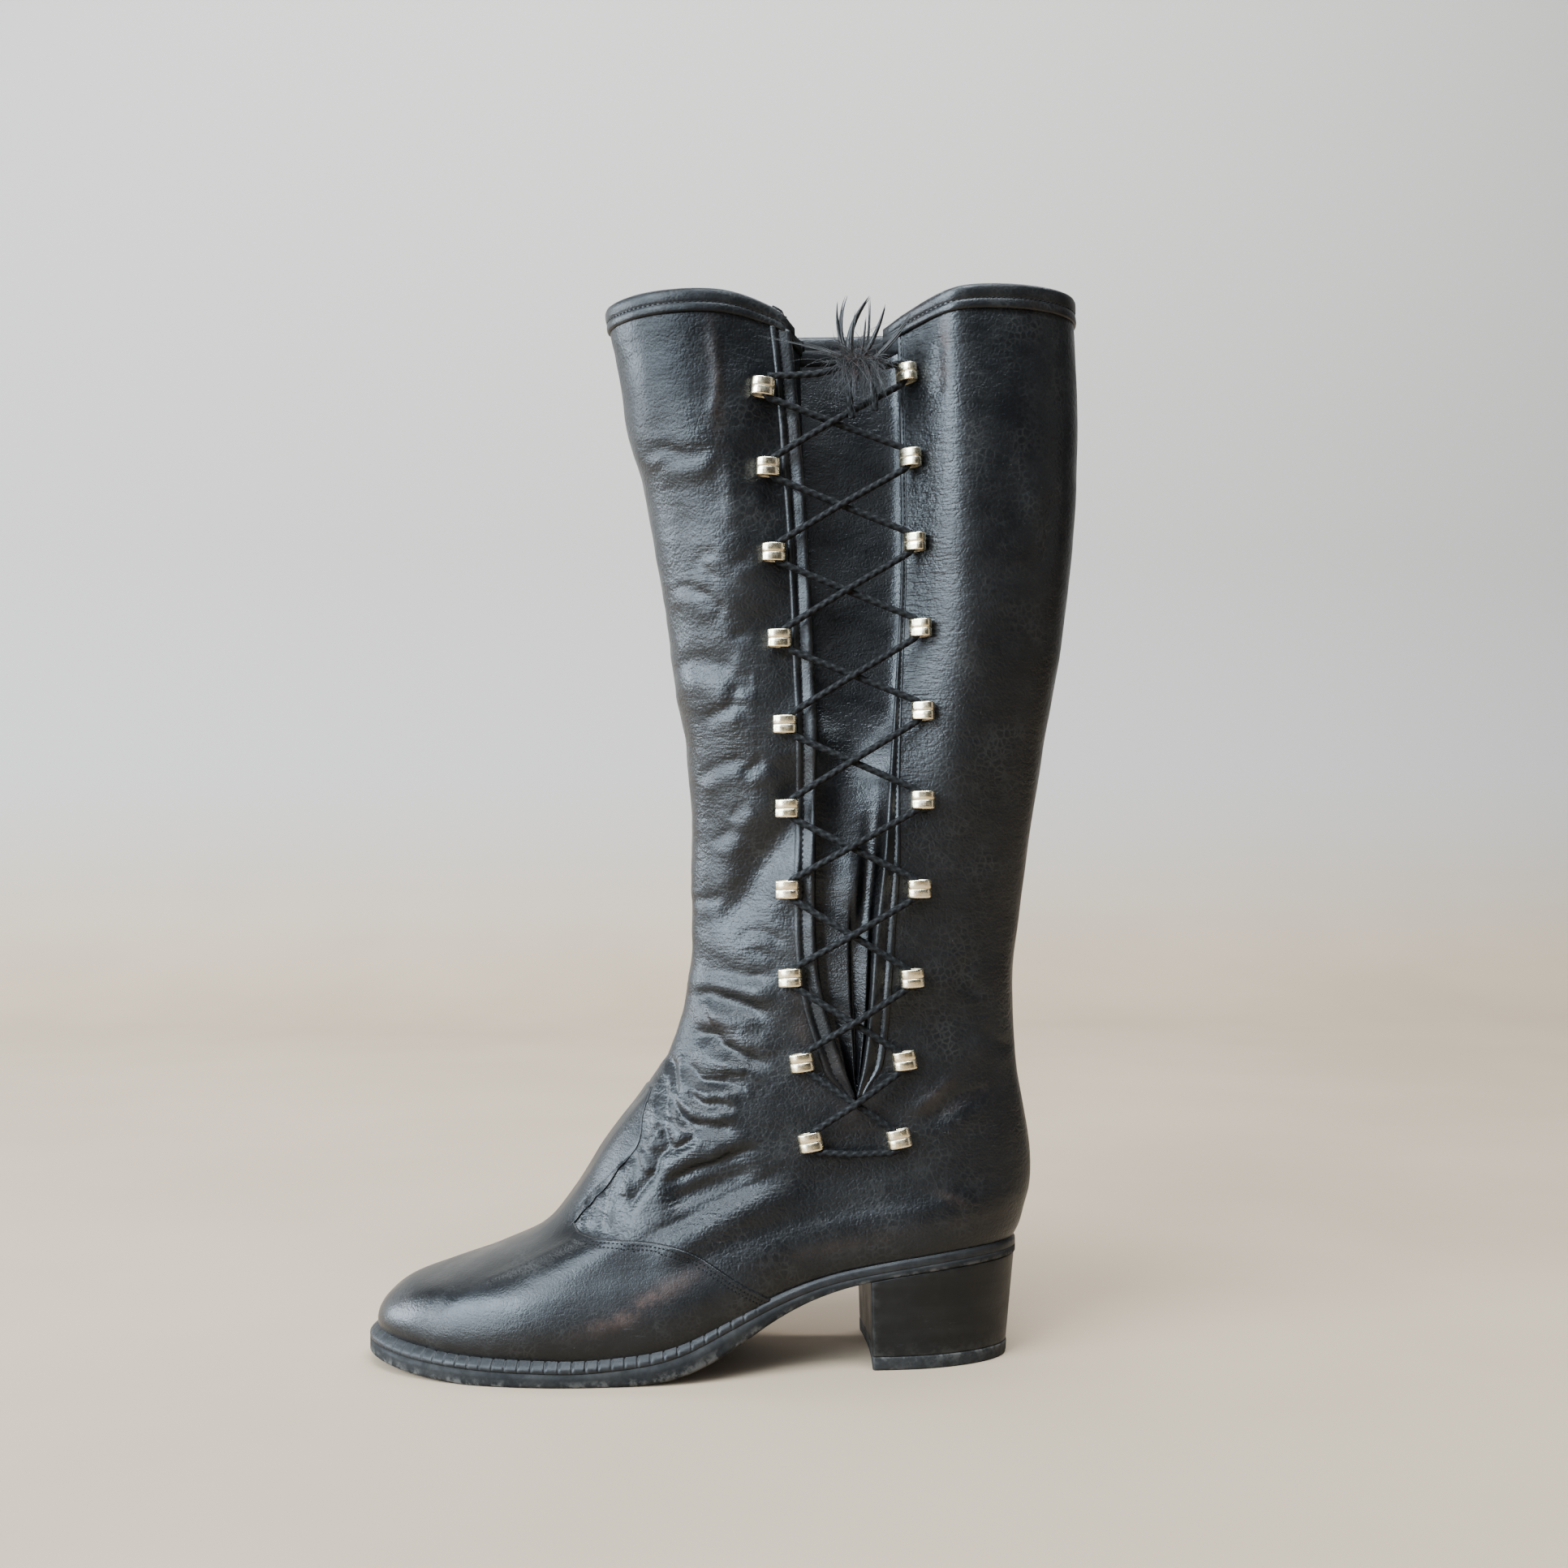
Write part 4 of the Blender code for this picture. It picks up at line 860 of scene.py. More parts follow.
@dataclass(frozen=True)
class Rubber(Finish):
    """Dull moulded rubber: speckled, pitted, with dirt and a fine ribbed tread across the foot."""

    colour: tuple = (0.003, 0.003, 0.003)

    def paint(self) -> bpy.types.Material:
        """Make the material."""
        made, n, shader, place = self.begin()
        dust = self.group(n, "dust", {"Vector": place, "Amount": 0.8})
        tone = n.mix(n.band(n.noise(place, 500.0), 0.35, 0.70), self.colour, (0.006, 0.0059, 0.0057))
        edge = n.times(n.mark("edge"), n.band(n.noise(place, 200.0, 4.0, 0.7), 0.45, 0.62))
        tone = n.mix(edge, tone, (0.06, 0.056, 0.050))
        n.put(shader, "Base Color", n.mix(n.times(dust.outputs["Mask"], 0.1), tone, (0.13, 0.115, 0.095)))
        n.put(shader, "Roughness", n.band(n.noise(place, 150.0), 0.3, 0.7, 0.62, 0.85))
        n.put(shader, "Specular IOR Level", 0.2)
        wave = n.add("ShaderNodeTexWave", {"Vector": place, "Scale": 55.0, "Distortion": 0.6},
                     bands_direction="X")
        rib = n.times(wave.outputs["Fac"], n.mark("tread"))
        self.relief(n, shader, ((rib, 0.0008), (n.noise(place, 700.0, 4.0), 0.00015)))
        return made


@dataclass(frozen=True)
class Metal(Finish):
    """Plated metal: pale nickel with a warm tint, fine scratches and dull tarnish in hollows."""

    colour: tuple = (0.80, 0.67, 0.44)

    def paint(self) -> bpy.types.Material:
        """Make the material."""
        made, n, shader, place = self.begin()
        scratch = self.group(n, "scratches", {"Vector": n.stretch(place, (3.0, 3.0, 3.0)), "Amount": 0.7})
        haze = n.noise(place, 420.0, 4.0, 0.65)
        tarnish = n.times(n.mark("hollow"), n.band(haze, 0.25, 0.60))
        tone = n.mix(n.band(haze, 0.40, 0.72), self.colour, (0.85, 0.76, 0.57))
        n.put(shader, "Base Color", n.mix(tarnish, tone, (0.10, 0.075, 0.045)))
        n.put(shader, "Metallic", n.minus(1.0, n.times(tarnish, 0.35)))
        rough = n.band(haze, 0.30, 0.75, 0.20, 0.33)
        rough = n.plus(rough, n.times(scratch.outputs["Mask"], 0.22))
        n.put(shader, "Roughness", n.plus(rough, n.times(tarnish, 0.35), clamp=True))
        self.relief(n, shader, ((haze, 0.00004), (n.minus(0.0, scratch.outputs["Mask"]), 0.00003)))
        return made


@dataclass(frozen=True)
class Braid(Finish):
    """Braided cord or sewing thread: fine yarns along each strand, lighter where fibres stand up, painted shade
    in the valleys.
    """

    colour: tuple = (0.0015, 0.0015, 0.0017)
    light: tuple = (0.006, 0.006, 0.006)
    yarn: float = 2600.0
    shine: float = 0.18

    def paint(self) -> bpy.types.Material:
        """Make the material."""
        made, n, shader, place = self.begin()
        strand = n.noise(n.stretch(place, (1.0, 1.0, 0.35), (0.0, 0.7, 0.0)), self.yarn, 3.0, 0.6)
        fuzz = n.band(n.noise(place, 900.0, 4.0, 0.7), 0.50, 0.75)
        tone = n.mix(n.band(strand, 0.35, 0.70), self.colour, self.light)
        # Painted shade: the valleys between the braid's lumps are darker (and rougher).
        tone = n.mix(n.times(n.mark("valley"), 0.92), tone, (0.0015, 0.0015, 0.0015))
        n.put(shader, "Base Color", n.mix(n.times(fuzz, 0.25), tone, (0.022, 0.021, 0.020)))
        rough = n.plus(n.band(strand, 0.3, 0.7, 0.50, 0.68), n.times(n.mark("valley"), 0.4))
        n.put(shader, "Roughness", n.math("MINIMUM", rough, 1.0))
        n.put(shader, "Specular IOR Level", self.shine)
        self.relief(n, shader, ((strand, 0.00012),))
        return made


@dataclass(frozen=True)
class Hair(Finish):
    """Dry brownish black hair, paler and redder in places along its length."""

    def paint(self) -> bpy.types.Material:
        """Make the material."""
        made, n, shader, place = self.begin()
        tone = n.mix(n.band(n.noise(place, 260.0), 0.40, 0.70), (0.003, 0.0028, 0.0027),
                     (0.012, 0.0104, 0.0094))
        red = n.times(n.mark("root"), n.band(n.noise(place, 400.0), 0.45, 0.70))
        n.put(shader, "Base Color", n.mix(red, tone, (0.055, 0.022, 0.015)))
        n.put(shader, "Roughness", n.band(n.noise(place, 800.0), 0.3, 0.7, 0.42, 0.66))
        self.relief(n, shader, ((n.noise(n.stretch(place, (1, 1, 0.15)), 2400.0), 0.00008),))
        return made


UPPER_LEATHER = Leather("side_leather")
# The vamp's worn colour is pinker, as it also paints the coppery sheen on the toe's side.
VAMP_LEATHER = Leather("vamp_leather", rubbed_and_sheen=(0.075, 0.041, 0.030), gloss=(0.29, 0.40), grain=1250.0,
                       depth=0.00005, wrinkle=0.00012, dust=0.25)
BAND_LEATHER = Leather("binding_leather", gloss=(0.32, 0.44), grain=1100.0, depth=0.00006, wrinkle=0.0001,
                       dust=0.25)
# The gusset's leather is darker than the side leather: painted shade of the deep recess behind the slit.
SHADED_GUSSET_LEATHER = Leather("pleated_leather_shaded", colour=(0.0014, 0.0014, 0.0017), faded=(0.0025, 0.0025, 0.003),
                         dust=0.1, gloss=(0.28, 0.38), grain=1300.0, depth=0.00008, wrinkle=0.00025)
TOP_LEATHER = Leather("gusset_top_leather", gloss=(0.45, 0.6), grain=1100.0, depth=0.00006, dust=0.1,
                      shine=0.1)
LINING = Leather("lining_leather", colour=(0.46, 0.37, 0.255), faded=(0.56, 0.475, 0.35),
                 rubbed_and_sheen=(0.30, 0.22, 0.15), gloss=(0.50, 0.68), grain=1000.0, depth=0.0001,
                 wrinkle=0.0003, dust=0.5)
INSOLE = Leather("insole_leather", colour=(0.30, 0.215, 0.135), faded=(0.40, 0.31, 0.21),
                 rubbed_and_sheen=(0.20, 0.13, 0.08), gloss=(0.50, 0.66), grain=1000.0, depth=0.0001,
                 wrinkle=0.0003, dust=0.6)
WELT_INK = SoleEdge("welt_edge", colour=(0.0035, 0.0035, 0.0036), scuff=(0.03, 0.029, 0.027),
                    gloss=(0.42, 0.56), dirt=0.12)
HEEL_INK = SoleEdge("heel_cover", colour=(0.0016, 0.0016, 0.0015), scuff=(0.016, 0.015, 0.013),
                    gloss=(0.40, 0.54), lines=300.0, dirt=0.12)
SOLE_RUBBER = Rubber("outsole_rubber")
LIFT_RUBBER = Rubber("top_lift_rubber", colour=(0.010, 0.010, 0.010))
NICKEL = Metal("loop_nickel")
CORD = Braid("lace_braid")
THREAD = Braid("black_thread", colour=(0.004, 0.004, 0.0045), light=(0.008, 0.008, 0.008), yarn=5200.0,
               shine=0.05)
TUFT = Hair("tassel_hair")


def place_object(name: str, data: bpy.types.ID) -> bpy.types.Object:
    """Put an object into the scene."""
    obj = bpy.data.objects.new(name, data)
    bpy.context.scene.collection.objects.link(obj)
    return obj


def make_piece(name: str, points: Array, quads: Array, finish: Finish, nodes: tuple = (),
               uv: Array | None = None, marks: dict | None = None) -> bpy.types.Object:
    """Put a grid of points into a mesh object that rides on the boot.

    Args:
        name: Name of the piece.
        points: Points in millimetres.
        quads: Four point numbers per face.
        finish: Its finish.
        nodes: Solids that it stands for.
        uv: UV of each face corner.
        marks: Values at each point by name, for the finish.

    Returns:
        The object.
    """
    used, quads = np.unique(quads, return_inverse=True)
    quads = quads.reshape(-1, 4)
    spots = np.ascontiguousarray(points.reshape(-1, 3)[used] * MM, dtype=np.float32)
    mesh = bpy.data.meshes.new(name)
    mesh.vertices.add(len(spots))
    mesh.vertices.foreach_set("co", spots.ravel())
    mesh.loops.add(quads.size)
    mesh.loops.foreach_set("vertex_index", quads.ravel().astype(np.int32))
    mesh.polygons.add(len(quads))
    mesh.polygons.foreach_set("loop_start", np.arange(0, quads.size, 4, dtype=np.int32))
    mesh.update(calc_edges=True)
    mesh.polygons.foreach_set("use_smooth", np.ones(len(quads), dtype=bool))
    if uv is not None:
        layer = mesh.uv_layers.new(name="UVMap")
        layer.data.foreach_set("uv", np.ascontiguousarray(uv, dtype=np.float32).ravel())
    for key, value in (marks or {}).items():
        layer = mesh.attributes.new(key, "FLOAT", "POINT")
        layer.data.foreach_set("value", np.ascontiguousarray(value.ravel()[used], dtype=np.float32))
    mesh.validate()
    mesh.materials.append(finish.build())
    obj = place_object(name, mesh)
    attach(obj, "root")
    if nodes:
        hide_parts(*nodes)
    log.info("%s: %d faces", name, len(quads))
    return obj


def closed_ends(grid: Array) -> Array:
    """Add a row at each end of a tube's grid, drawn together to a point, so that the tube is closed."""
    first = np.broadcast_to(grid[:1].mean(axis=1, keepdims=True), grid[:1].shape)
    last = np.broadcast_to(grid[-1:].mean(axis=1, keepdims=True), grid[-1:].shape)
    return np.concatenate([first, grid, last])


def join_grids(grids: list) -> tuple[Array, Array]:
    """Put several grids of points with their quads together as one.

    Args:
        grids: Pairs of points and quads.

    Returns:
        All points, and all quads with their numbers moved on.
    """
    starts = np.cumsum([0] + [len(p.reshape(-1, 3)) for p, _ in grids])
    points = np.concatenate([p.reshape(-1, 3) for p, _ in grids])
    return points, np.concatenate([q + s for (_, q), s in zip(grids, starts)])


def tube_frames(path: Array, side: tuple = (0.0, 1.0, 0.0)) -> tuple[Array, Array, Array]:
    """Directions along a path and across it, each at right angles to the others."""
    along = unit(np.gradient(path, axis=0))
    across = unit(np.cross(along, np.array(side)))
    return along, across, np.cross(across, along)


class Stitches:
    """Rows of sewn stitches: small rounded grains of thread, sunk a little at both ends."""

    def __init__(self, pitch: float, length: float, width: float, height: float) -> None:
        """Keep the sizes of one stitch."""
        self.pitch, self.length, self.width, self.height = pitch, length, width, height
        self.grids: list = []

    def sew(self, path: Array, normal: Array, lift: float = 0.0) -> None:
        """Lay stitches along a path: each is a half turn of circles that grows and shrinks along its length.

        Args:
            path: Points of the row.
            normal: Outward normal at each point.
            lift: Height of the row over the path.
        """
        run = run_of(path)
        at = np.arange(self.pitch / 2, run[-1], self.pitch)
        spot = read_rows(at, run, path)
        up = unit(read_rows(at, run, normal))
        way = read_rows(at, run, np.gradient(path, axis=0))
        way = unit(way - (way * up).sum(axis=1, keepdims=True) * up)
        across = np.cross(up, way)
        along, turn = np.linspace(-1, 1, 7)[:, None], full_turn(6)[None, :]
        swell = np.sqrt(np.maximum(1 - along**2, 0.0))
        grain = np.stack([along * self.length / 2 + 0 * turn, swell * np.cos(turn) * self.width / 2,
                          swell * np.sin(turn) * self.height - 0.10 * along**2 + lift], axis=-1)
        grain = grain.reshape(-1, 3)
        axes = np.stack([way, across, up], axis=1)
        self.grids += [(spot[i] + grain @ axes[i], lattice(7, 6, True)) for i in range(len(at))]

    def piece(self, name: str) -> bpy.types.Object:
        """Make all rows into one piece."""
        points, quads = join_grids(self.grids)
        return make_piece(name, points, quads, THREAD)


@dataclass
class Upper:
    """The shaft and quarters in one skin from slit edge to slit edge, with the lining inside it."""

    columns: int = 246
    rows: int = 385
    wall: float = 2.0
    tuck: float = 5.0

    def seam(self, v: Array, cols: int) -> Array:
        """Quads of the skin; below the slit the two edges are one seam."""
        numbers = np.arange(len(v) * cols).reshape(len(v), cols)
        closed = v <= LAST.slit_foot
        numbers[closed, -1] = numbers[closed, 0]
        return numbers.ravel()[lattice(len(v), cols)]

    def build(self) -> None:
        """Make the skin: the last's face moved out by the hide's relief, tucked in under the foot."""
        v = LAST.even_rows(0.0, LAST.top, self.rows, 1.5)
        angle = LAST.columns(v, self.columns)
        base = LAST.shell(v[:, None], angle)
        normal = unit(np.cross(np.gradient(base, axis=0), np.gradient(base, axis=1)))
        relief = HIDE.relief(base) * ease(v / 0.8)[:, None]
        skin = base + normal * relief[..., None]
        inward = unit(base[0] * (1, 1, 0) - (-10, LAST.midline, 0))
        under = skin[:1] - self.tuck * inward * (1, 1, 0) - (0, 0, 0.3)
        grid = np.concatenate([under, skin])
        rows = np.concatenate([[0.0], v])
        sec = LAST.rows(rows)
        roll = ease((rows - 12.5) / 2.5)[:, None] * bump((grid[..., 0] - sec[:, None, Col.SLIT_BACK] - 8) / 9)
        outer = ease(-(grid[..., 1] - LAST.midline) / 6)
        bent = np.clip(roll * outer + HIDE.patches(grid, WRINKLED), 0, 1)
        marks = {"rub_and_sheen": HIDE.patches(grid, RUBBED_AND_SHEEN), "bent": bent, "dull": HIDE.patches(grid, DULLED)}
        make_piece("upper_skin", grid, self.seam(rows, self.columns), UPPER_LEATHER,
                   ("upper",), marks=marks)
        inside = (skin - normal * self.wall)[::2, ::2]
        quads = self.seam(v[::2], inside.shape[1])[:, ::-1]
        rub_and_sheen = 0.6 * ease((inside[..., 2] - 360) / 50) + 0.5 * ease((70 - inside[..., 2]) / 40)
        make_piece("upper_lining", inside, quads, LINING, marks={"rub_and_sheen": rub_and_sheen})


@dataclass
class Vamp:
    """The front of the foot: a second skin whose edge runs from the sole up to the instep on both sides."""

    columns: int = 190
    rows: int = 64
    lift: float = 0.40
    gap: float = 0.12
    sewn_at: tuple = (2.0, 3.5)

    def edge(self) -> tuple[Array, Array]:
        """Heights and angles of the edge, from the outer sole over the instep to the inner sole."""
        line = smooth_path(np.array([(x, 0.0, z) for x, z in VAMP_EDGE]), 0.4)
        x, z = line[:, 0], line[:, 2]
        v = LAST.row_of(x, z)
        angle = LAST.outer_angle(v, x)
        v, angle = np.append(v, v[-1] + 0.06), np.append(angle, math.pi)
        at = np.linspace(0, 1, self.columns) * (len(v) - 1)
        v, angle = np.interp(at, np.arange(len(v)), v), np.interp(at, np.arange(len(angle)), angle)
        return np.append(v, v[-2::-1]), np.append(angle, 2 * math.pi - angle[-2::-1])

    def build(self, stitches: Stitches) -> None:
        """Make the skin and sew its edge: straight runs from feather line to edge in height and angle.

        Args:
            stitches: Takes the two rows beside the edge.
        """
        v_edge, a_edge = self.edge()
        count = len(v_edge)
        s = np.linspace(0, 1, count)
        half = a_edge[0] + (math.pi - a_edge[0]) * (2 * np.minimum(s, 1 - s)) ** 0.9
        foot = np.where(s <= 0.5, half, 2 * math.pi - half)
        t = 1 - (1 - np.linspace(0, 1, self.rows)) ** 1.5
        v = np.maximum(v_edge[None, :] * t[:, None], 0.0)
        angle = foot[None, :] + (a_edge - foot)[None, :] * t[:, None] ** 1.2
        base = LAST.shell(v, angle)
        normal = LAST.normals(np.maximum(v, 0.01), angle)
        rim = base[-1]
        flat = base.reshape(-1, 3)
        away = np.concatenate([np.linalg.norm(part[:, None] - rim[None], axis=2).min(axis=1)
                               for part in np.array_split(flat, 24)]).reshape(base.shape[:-1])
        sewn = ease((58 - rim[:, 2]) / 5) * ease((rim[:, 0] + 56) / 4)
        groove = sum(0.14 * bump((away - distance) / 0.4) for distance in self.sewn_at)
        rise = self.gap + (self.lift + 0.45 * sewn) * (1 - bump(away / 0.4)) - groove * sewn
        relief = HIDE.relief(base) * ease(v / 0.8)
        skin = base + normal * (relief + rise)[..., None]
        hem = (base + normal * (relief - 0.4)[..., None])[-1:]
        grid = np.concatenate([skin, hem])
        quads = lattice(len(grid), count)
        # The worn places on the vamp include a painted coppery sheen on the toe's side.
        make_piece("vamp_skin", grid, quads, VAMP_LEATHER, ("vamp",),
                   marks={"rub_and_sheen": HIDE.patches(grid, RUBBED_AND_SHEEN)})
        for distance in self.sewn_at:
            row = np.argmin(np.abs(away - distance) + 50 * (away > distance + 1.5), axis=0)
            pick = np.arange(count)
            path = skin[row, pick]
            keep = (np.abs(away[row, pick] - distance) < 0.9) & (rim[:, 2] < 53) & (rim[:, 0] > -50)
            for part in (keep & (s < 0.5), keep & (s > 0.5)):
                if part.sum() > 4:
                    stitches.sew(smooth_path(path[part], 0.5),
                                 self.match(path[part], normal[row, pick][part]))

    def match(self, path: Array, normal: Array) -> Array:
        """Normals read at the same even steps as the smoothed path."""
        count = len(smooth_path(path, 0.5))
        at = np.linspace(0, len(normal) - 1, count)
        return unit(read_rows(at, np.arange(len(normal)), normal))


@dataclass
class Bindings:
    """Folded leather strips over the collar, the two slit edges and the gusset's top."""

    band: float = 9.3
    per_row: float = 16.5
    slit_from: float = 8.25

    def collar(self, stitches: Stitches) -> None:
        """A band over the collar: its section, distance down and height out, carried round the top loop.

        Args:
            stitches: Takes the row at the band's middle.
        """
        section = np.array([(9.3, -0.3), (9.35, 0.45), (9.1, 0.95), (8.2, 1.2), (6.6, 1.2), (5.4, 1.05),
                            (4.9, 0.8), (4.4, 1.05), (3.4, 1.3), (1.6, 1.4), (0.2, 1.35), (-0.7, 0.9),
                            (-1.15, 0.1), (-1.25, -0.9), (-1.15, -1.9), (-0.7, -2.7), (0.3, -3.15),
                            (3.0, -3.25), (6.3, -3.2), (6.6, -2.9), (6.6, -1.8)])
        angle = LAST.columns(np.array([LAST.top]), 280)[0]
        angle[0] -= 0.03
        angle[-1] += 0.05
        v = LAST.top - np.maximum(section[:, 0], 0) / self.per_row
        base = LAST.shell(v[None, :], angle[:, None])
        normal = LAST.normals(np.full_like(angle, LAST.top - 0.02), angle)[:, None, :]
        up = np.maximum(-section[:, 0], 0)[None, :, None] * np.array([0, 0, 1.0])
        wave = 0.12 * ripples(base, 3, 20, 50) + HIDE.relief(base)
        run = run_of(base[:, 8])
        end = np.minimum(run, run[-1] - run)
        full = np.sqrt(np.clip(1 - (1 - np.minimum(end / 5.0, 1)) ** 2, 0.02, 1))[:, None]
        out = -0.9 + (section[None, :, 1] + 0.9) * full
        drop = 3.0 * np.clip(1 - end / 10, 0, 1) ** 2 * (base[:, 8, 0] < 40)
        grid = base + normal * (out + wave)[..., None] + up * full[..., None]
        grid = closed_ends(grid - drop[:, None, None] * np.array([0, 0, 1.0]))
        make_piece("collar_band", grid, lattice(*grid.shape[:2], True)[:, ::-1], BAND_LEATHER,
                   ("collar_binding",), marks=self.marks(grid))
        stitches.sew(grid[2:-2, 6], np.broadcast_to(normal[1:-1, 0], grid[2:-2, 6].shape), 0.12)

    def marks(self, grid: Array) -> dict:
        """Marks of a strip: where it is worn by rubbing and where it is dull."""
        rub_and_sheen = 0.12 * ease((ripples(grid, 21, 12, 40) - 0.6) / 1.2)
        return {"rub_and_sheen": rub_and_sheen, "dull": HIDE.patches(grid, DULLED)}

    def slit(self, front: bool, stitches: Stitches) -> None:
        """A strip over one edge of the slit: bead, stitched groove and rolled edge, carried up the edge.

        Args:
            front: Whether it is the front edge.
            stitches: Takes the row beside the bead.
        """
        section = np.array([(7.6, -0.35), (7.5, 0.3), (7.1, 0.8), (6.5, 1.0), (5.8, 0.95), (5.2, 0.65),
                            (4.8, 0.25), (4.4, 0.10), (4.0, 0.30), (3.4, 0.60), (2.6, 0.98), (1.7, 1.38),
                            (0.8, 1.70), (0.15, 1.50), (-0.4, 0.8), (-0.6, -0.6), (-0.55, -1.8),
                            (-0.2, -2.7), (0.5, -3.2), (2.0, -3.3), (3.2, -3.25), (3.3, -2.2)])
        v = LAST.even_rows(self.slit_from, LAST.top - (self.band - 0.9) / self.per_row, 230)
        sec = LAST.rows(v)
        squeeze = np.where(front, 1.0, 1 / (1 + 4.0 * sec[:, Col.DENT] / 26))
        way = -1.0 if front else 1.0
        edge_x = sec[:, Col.SLIT_FRONT if front else Col.SLIT_BACK]
        grow = (0.35 + 0.65 * ease((v - self.slit_from) / 0.8))[:, None]
        x = edge_x[:, None] + way * np.maximum(section[None, :, 0], 0) * squeeze[:, None] * grow
        base, normal, _, heelward = LAST.at(np.broadcast_to(v[:, None], x.shape), x)
        out = -way * heelward * np.maximum(-section[:, 0], 0)[None, :, None]
        relief = np.minimum(HIDE.relief(base), 0.8)
        tall = grow * squeeze[:, None]
        height = np.where(section[:, 1] > 0, section[None, :, 1] * tall, section[None, :, 1])
        grid = closed_ends(base + normal * (height + relief)[..., None] + out)
        quads = lattice(*grid.shape[:2], True)
        edge = "front" if front else "back"
        make_piece(f"slit_strip_{edge}", grid, quads if front else quads[:, ::-1], BAND_LEATHER,
                   (f"slit_binding_{edge}",), marks=self.marks(grid))
        stitches.sew(grid[6:-2, 7], normal[5:-1, 7], 0.06)

    def gusset_top(self, gusset: "Gusset") -> None:
        """A band over the gusset's top edge: a rounded section carried across the slit."""
        turn = full_turn(20)
        s = np.linspace(0.10, 0.95, 80)
        top = gusset.face(np.array([gusset.top]), s)[0]
        below = gusset.face(np.array([gusset.top - 0.2]), s)[0]
        up = unit(top - below)
        out = unit(np.cross(np.gradient(top, axis=0), up))
        out = out * np.sign(-out[:, 1:2])
        grid = top[:, None] - 0.65 * out[:, None] - 2.6 * up[:, None]
        shape = squared(np.sin(turn), 0.6)
        grid = grid + 3.6 * shape[None, :, None] * up[:, None]
        grid = closed_ends(grid + 1.5 * np.cos(turn)[None, :, None] * out[:, None])
        make_piece("gusset_band", grid, lattice(*grid.shape[:2], True), TOP_LEATHER,
                   ("gusset_binding",), marks=self.marks(grid))


@dataclass
class Gusset:
    """The soft panel behind the lacing: it sinks into the slit and gathers in pleats at its foot."""

    wall: float = 2.0
    reach: float = 9.0
    foot: float = 8.4
    top: float = 18.88
    rows: int = 240
    columns: int = 84
    thick: float = 1.2

    def face(self, v: Array, s: Array) -> Array:
        """The outer face: the last's face behind the slit, sunk at its middle, with pleats and a bulge.

        Args:
            v: Heights, one per row.
            s: Places across, from 0 at the front to 1 at the back.

        Returns:
            Points, one row per height.
        """
        sec = LAST.rows(v)
        ahead = sec[:, Col.SLIT_FRONT] - self.reach
        behind = sec[:, Col.SLIT_BACK] + self.reach / (1 + 3.2 * sec[:, Col.DENT] / 26)
        x = ahead[:, None] + (behind - ahead)[:, None] * s[None, :]
        base, normal, _, _ = LAST.at(np.broadcast_to(v[:, None], x.shape), x)
        wide = np.maximum(sec[:, Col.SLIT_BACK] - sec[:, Col.SLIT_FRONT], 4.0)
        q = (x - sec[:, Col.SLIT_FRONT, None]) / wide[:, None]
        z = base[..., 2]
        sink = (1.5 + 0.33 * sec[:, Col.DENT, None]) * np.sin(math.pi * s**1.25)[None, :] ** 2
        gather = 3.0 * ease((200 - z) / 40) * ease((q + 0.35) / 0.3) * ease((1.35 - q) / 0.3)
        sway = q + 0.02 * np.sin(z / 13)
        pleat = np.clip((sway - 0.16) / 0.40, 0, 1) * ease((0.61 - sway) / 0.06)
        pleat = pleat + 0.9 * np.clip((sway - 0.62) / 0.28, 0, 1) * ease((0.95 - sway) / 0.06)
        low = 1 - bump((z - 181) / 17)
        back = np.where(q < 0.62, (q - 0.62) / 0.30, (q - 0.62) / 0.10)
        bulge = 4.2 * bump((z - 181) / 15) * bump(back) + 1.2 * bump((z - 185) / 22) * bump((q - 0.86) / 0.07)
        bulge = bulge + 3.2 * bump((z - 216) / 18) * bump((q - 0.80) / 0.55)
        slack = 0.3 * ease((z - 190) / 40) * ripples(base * (1, 1, 0.35), 17, 14, 34)
        lift = -(self.wall + 2.3 + sink) + gather * low * pleat + bulge + slack
        spots = base + normal * np.minimum(lift, -1.6)[..., None]
        flat = ease((z - 225) / 25) * np.clip(1 - np.abs((q - 0.57) / 0.58) ** 6, 0, 1)
        spots[..., 1] += flat * (spots[..., 1].max(axis=1, keepdims=True) - spots[..., 1])
        spots[..., 2] += 4.5 * ease((0.32 - q) / 0.36) * ease((v - 18.3) / 0.5)[:, None]
        return spots

    def build(self) -> None:
        """Make the panel with its thickness."""
        grid = self.face(LAST.even_rows(self.foot, self.top, self.rows), np.linspace(1, 0, self.columns))
        # Its finish is painted darker for the shade in the recess behind the slit.
        obj = make_piece("gusset_panel", grid, lattice(self.rows, self.columns), SHADED_GUSSET_LEATHER,
                         ("gusset",))
        made = obj.modifiers.new("thickness", "SOLIDIFY")
        made.thickness = self.thick * MM
        made.offset = -1.0


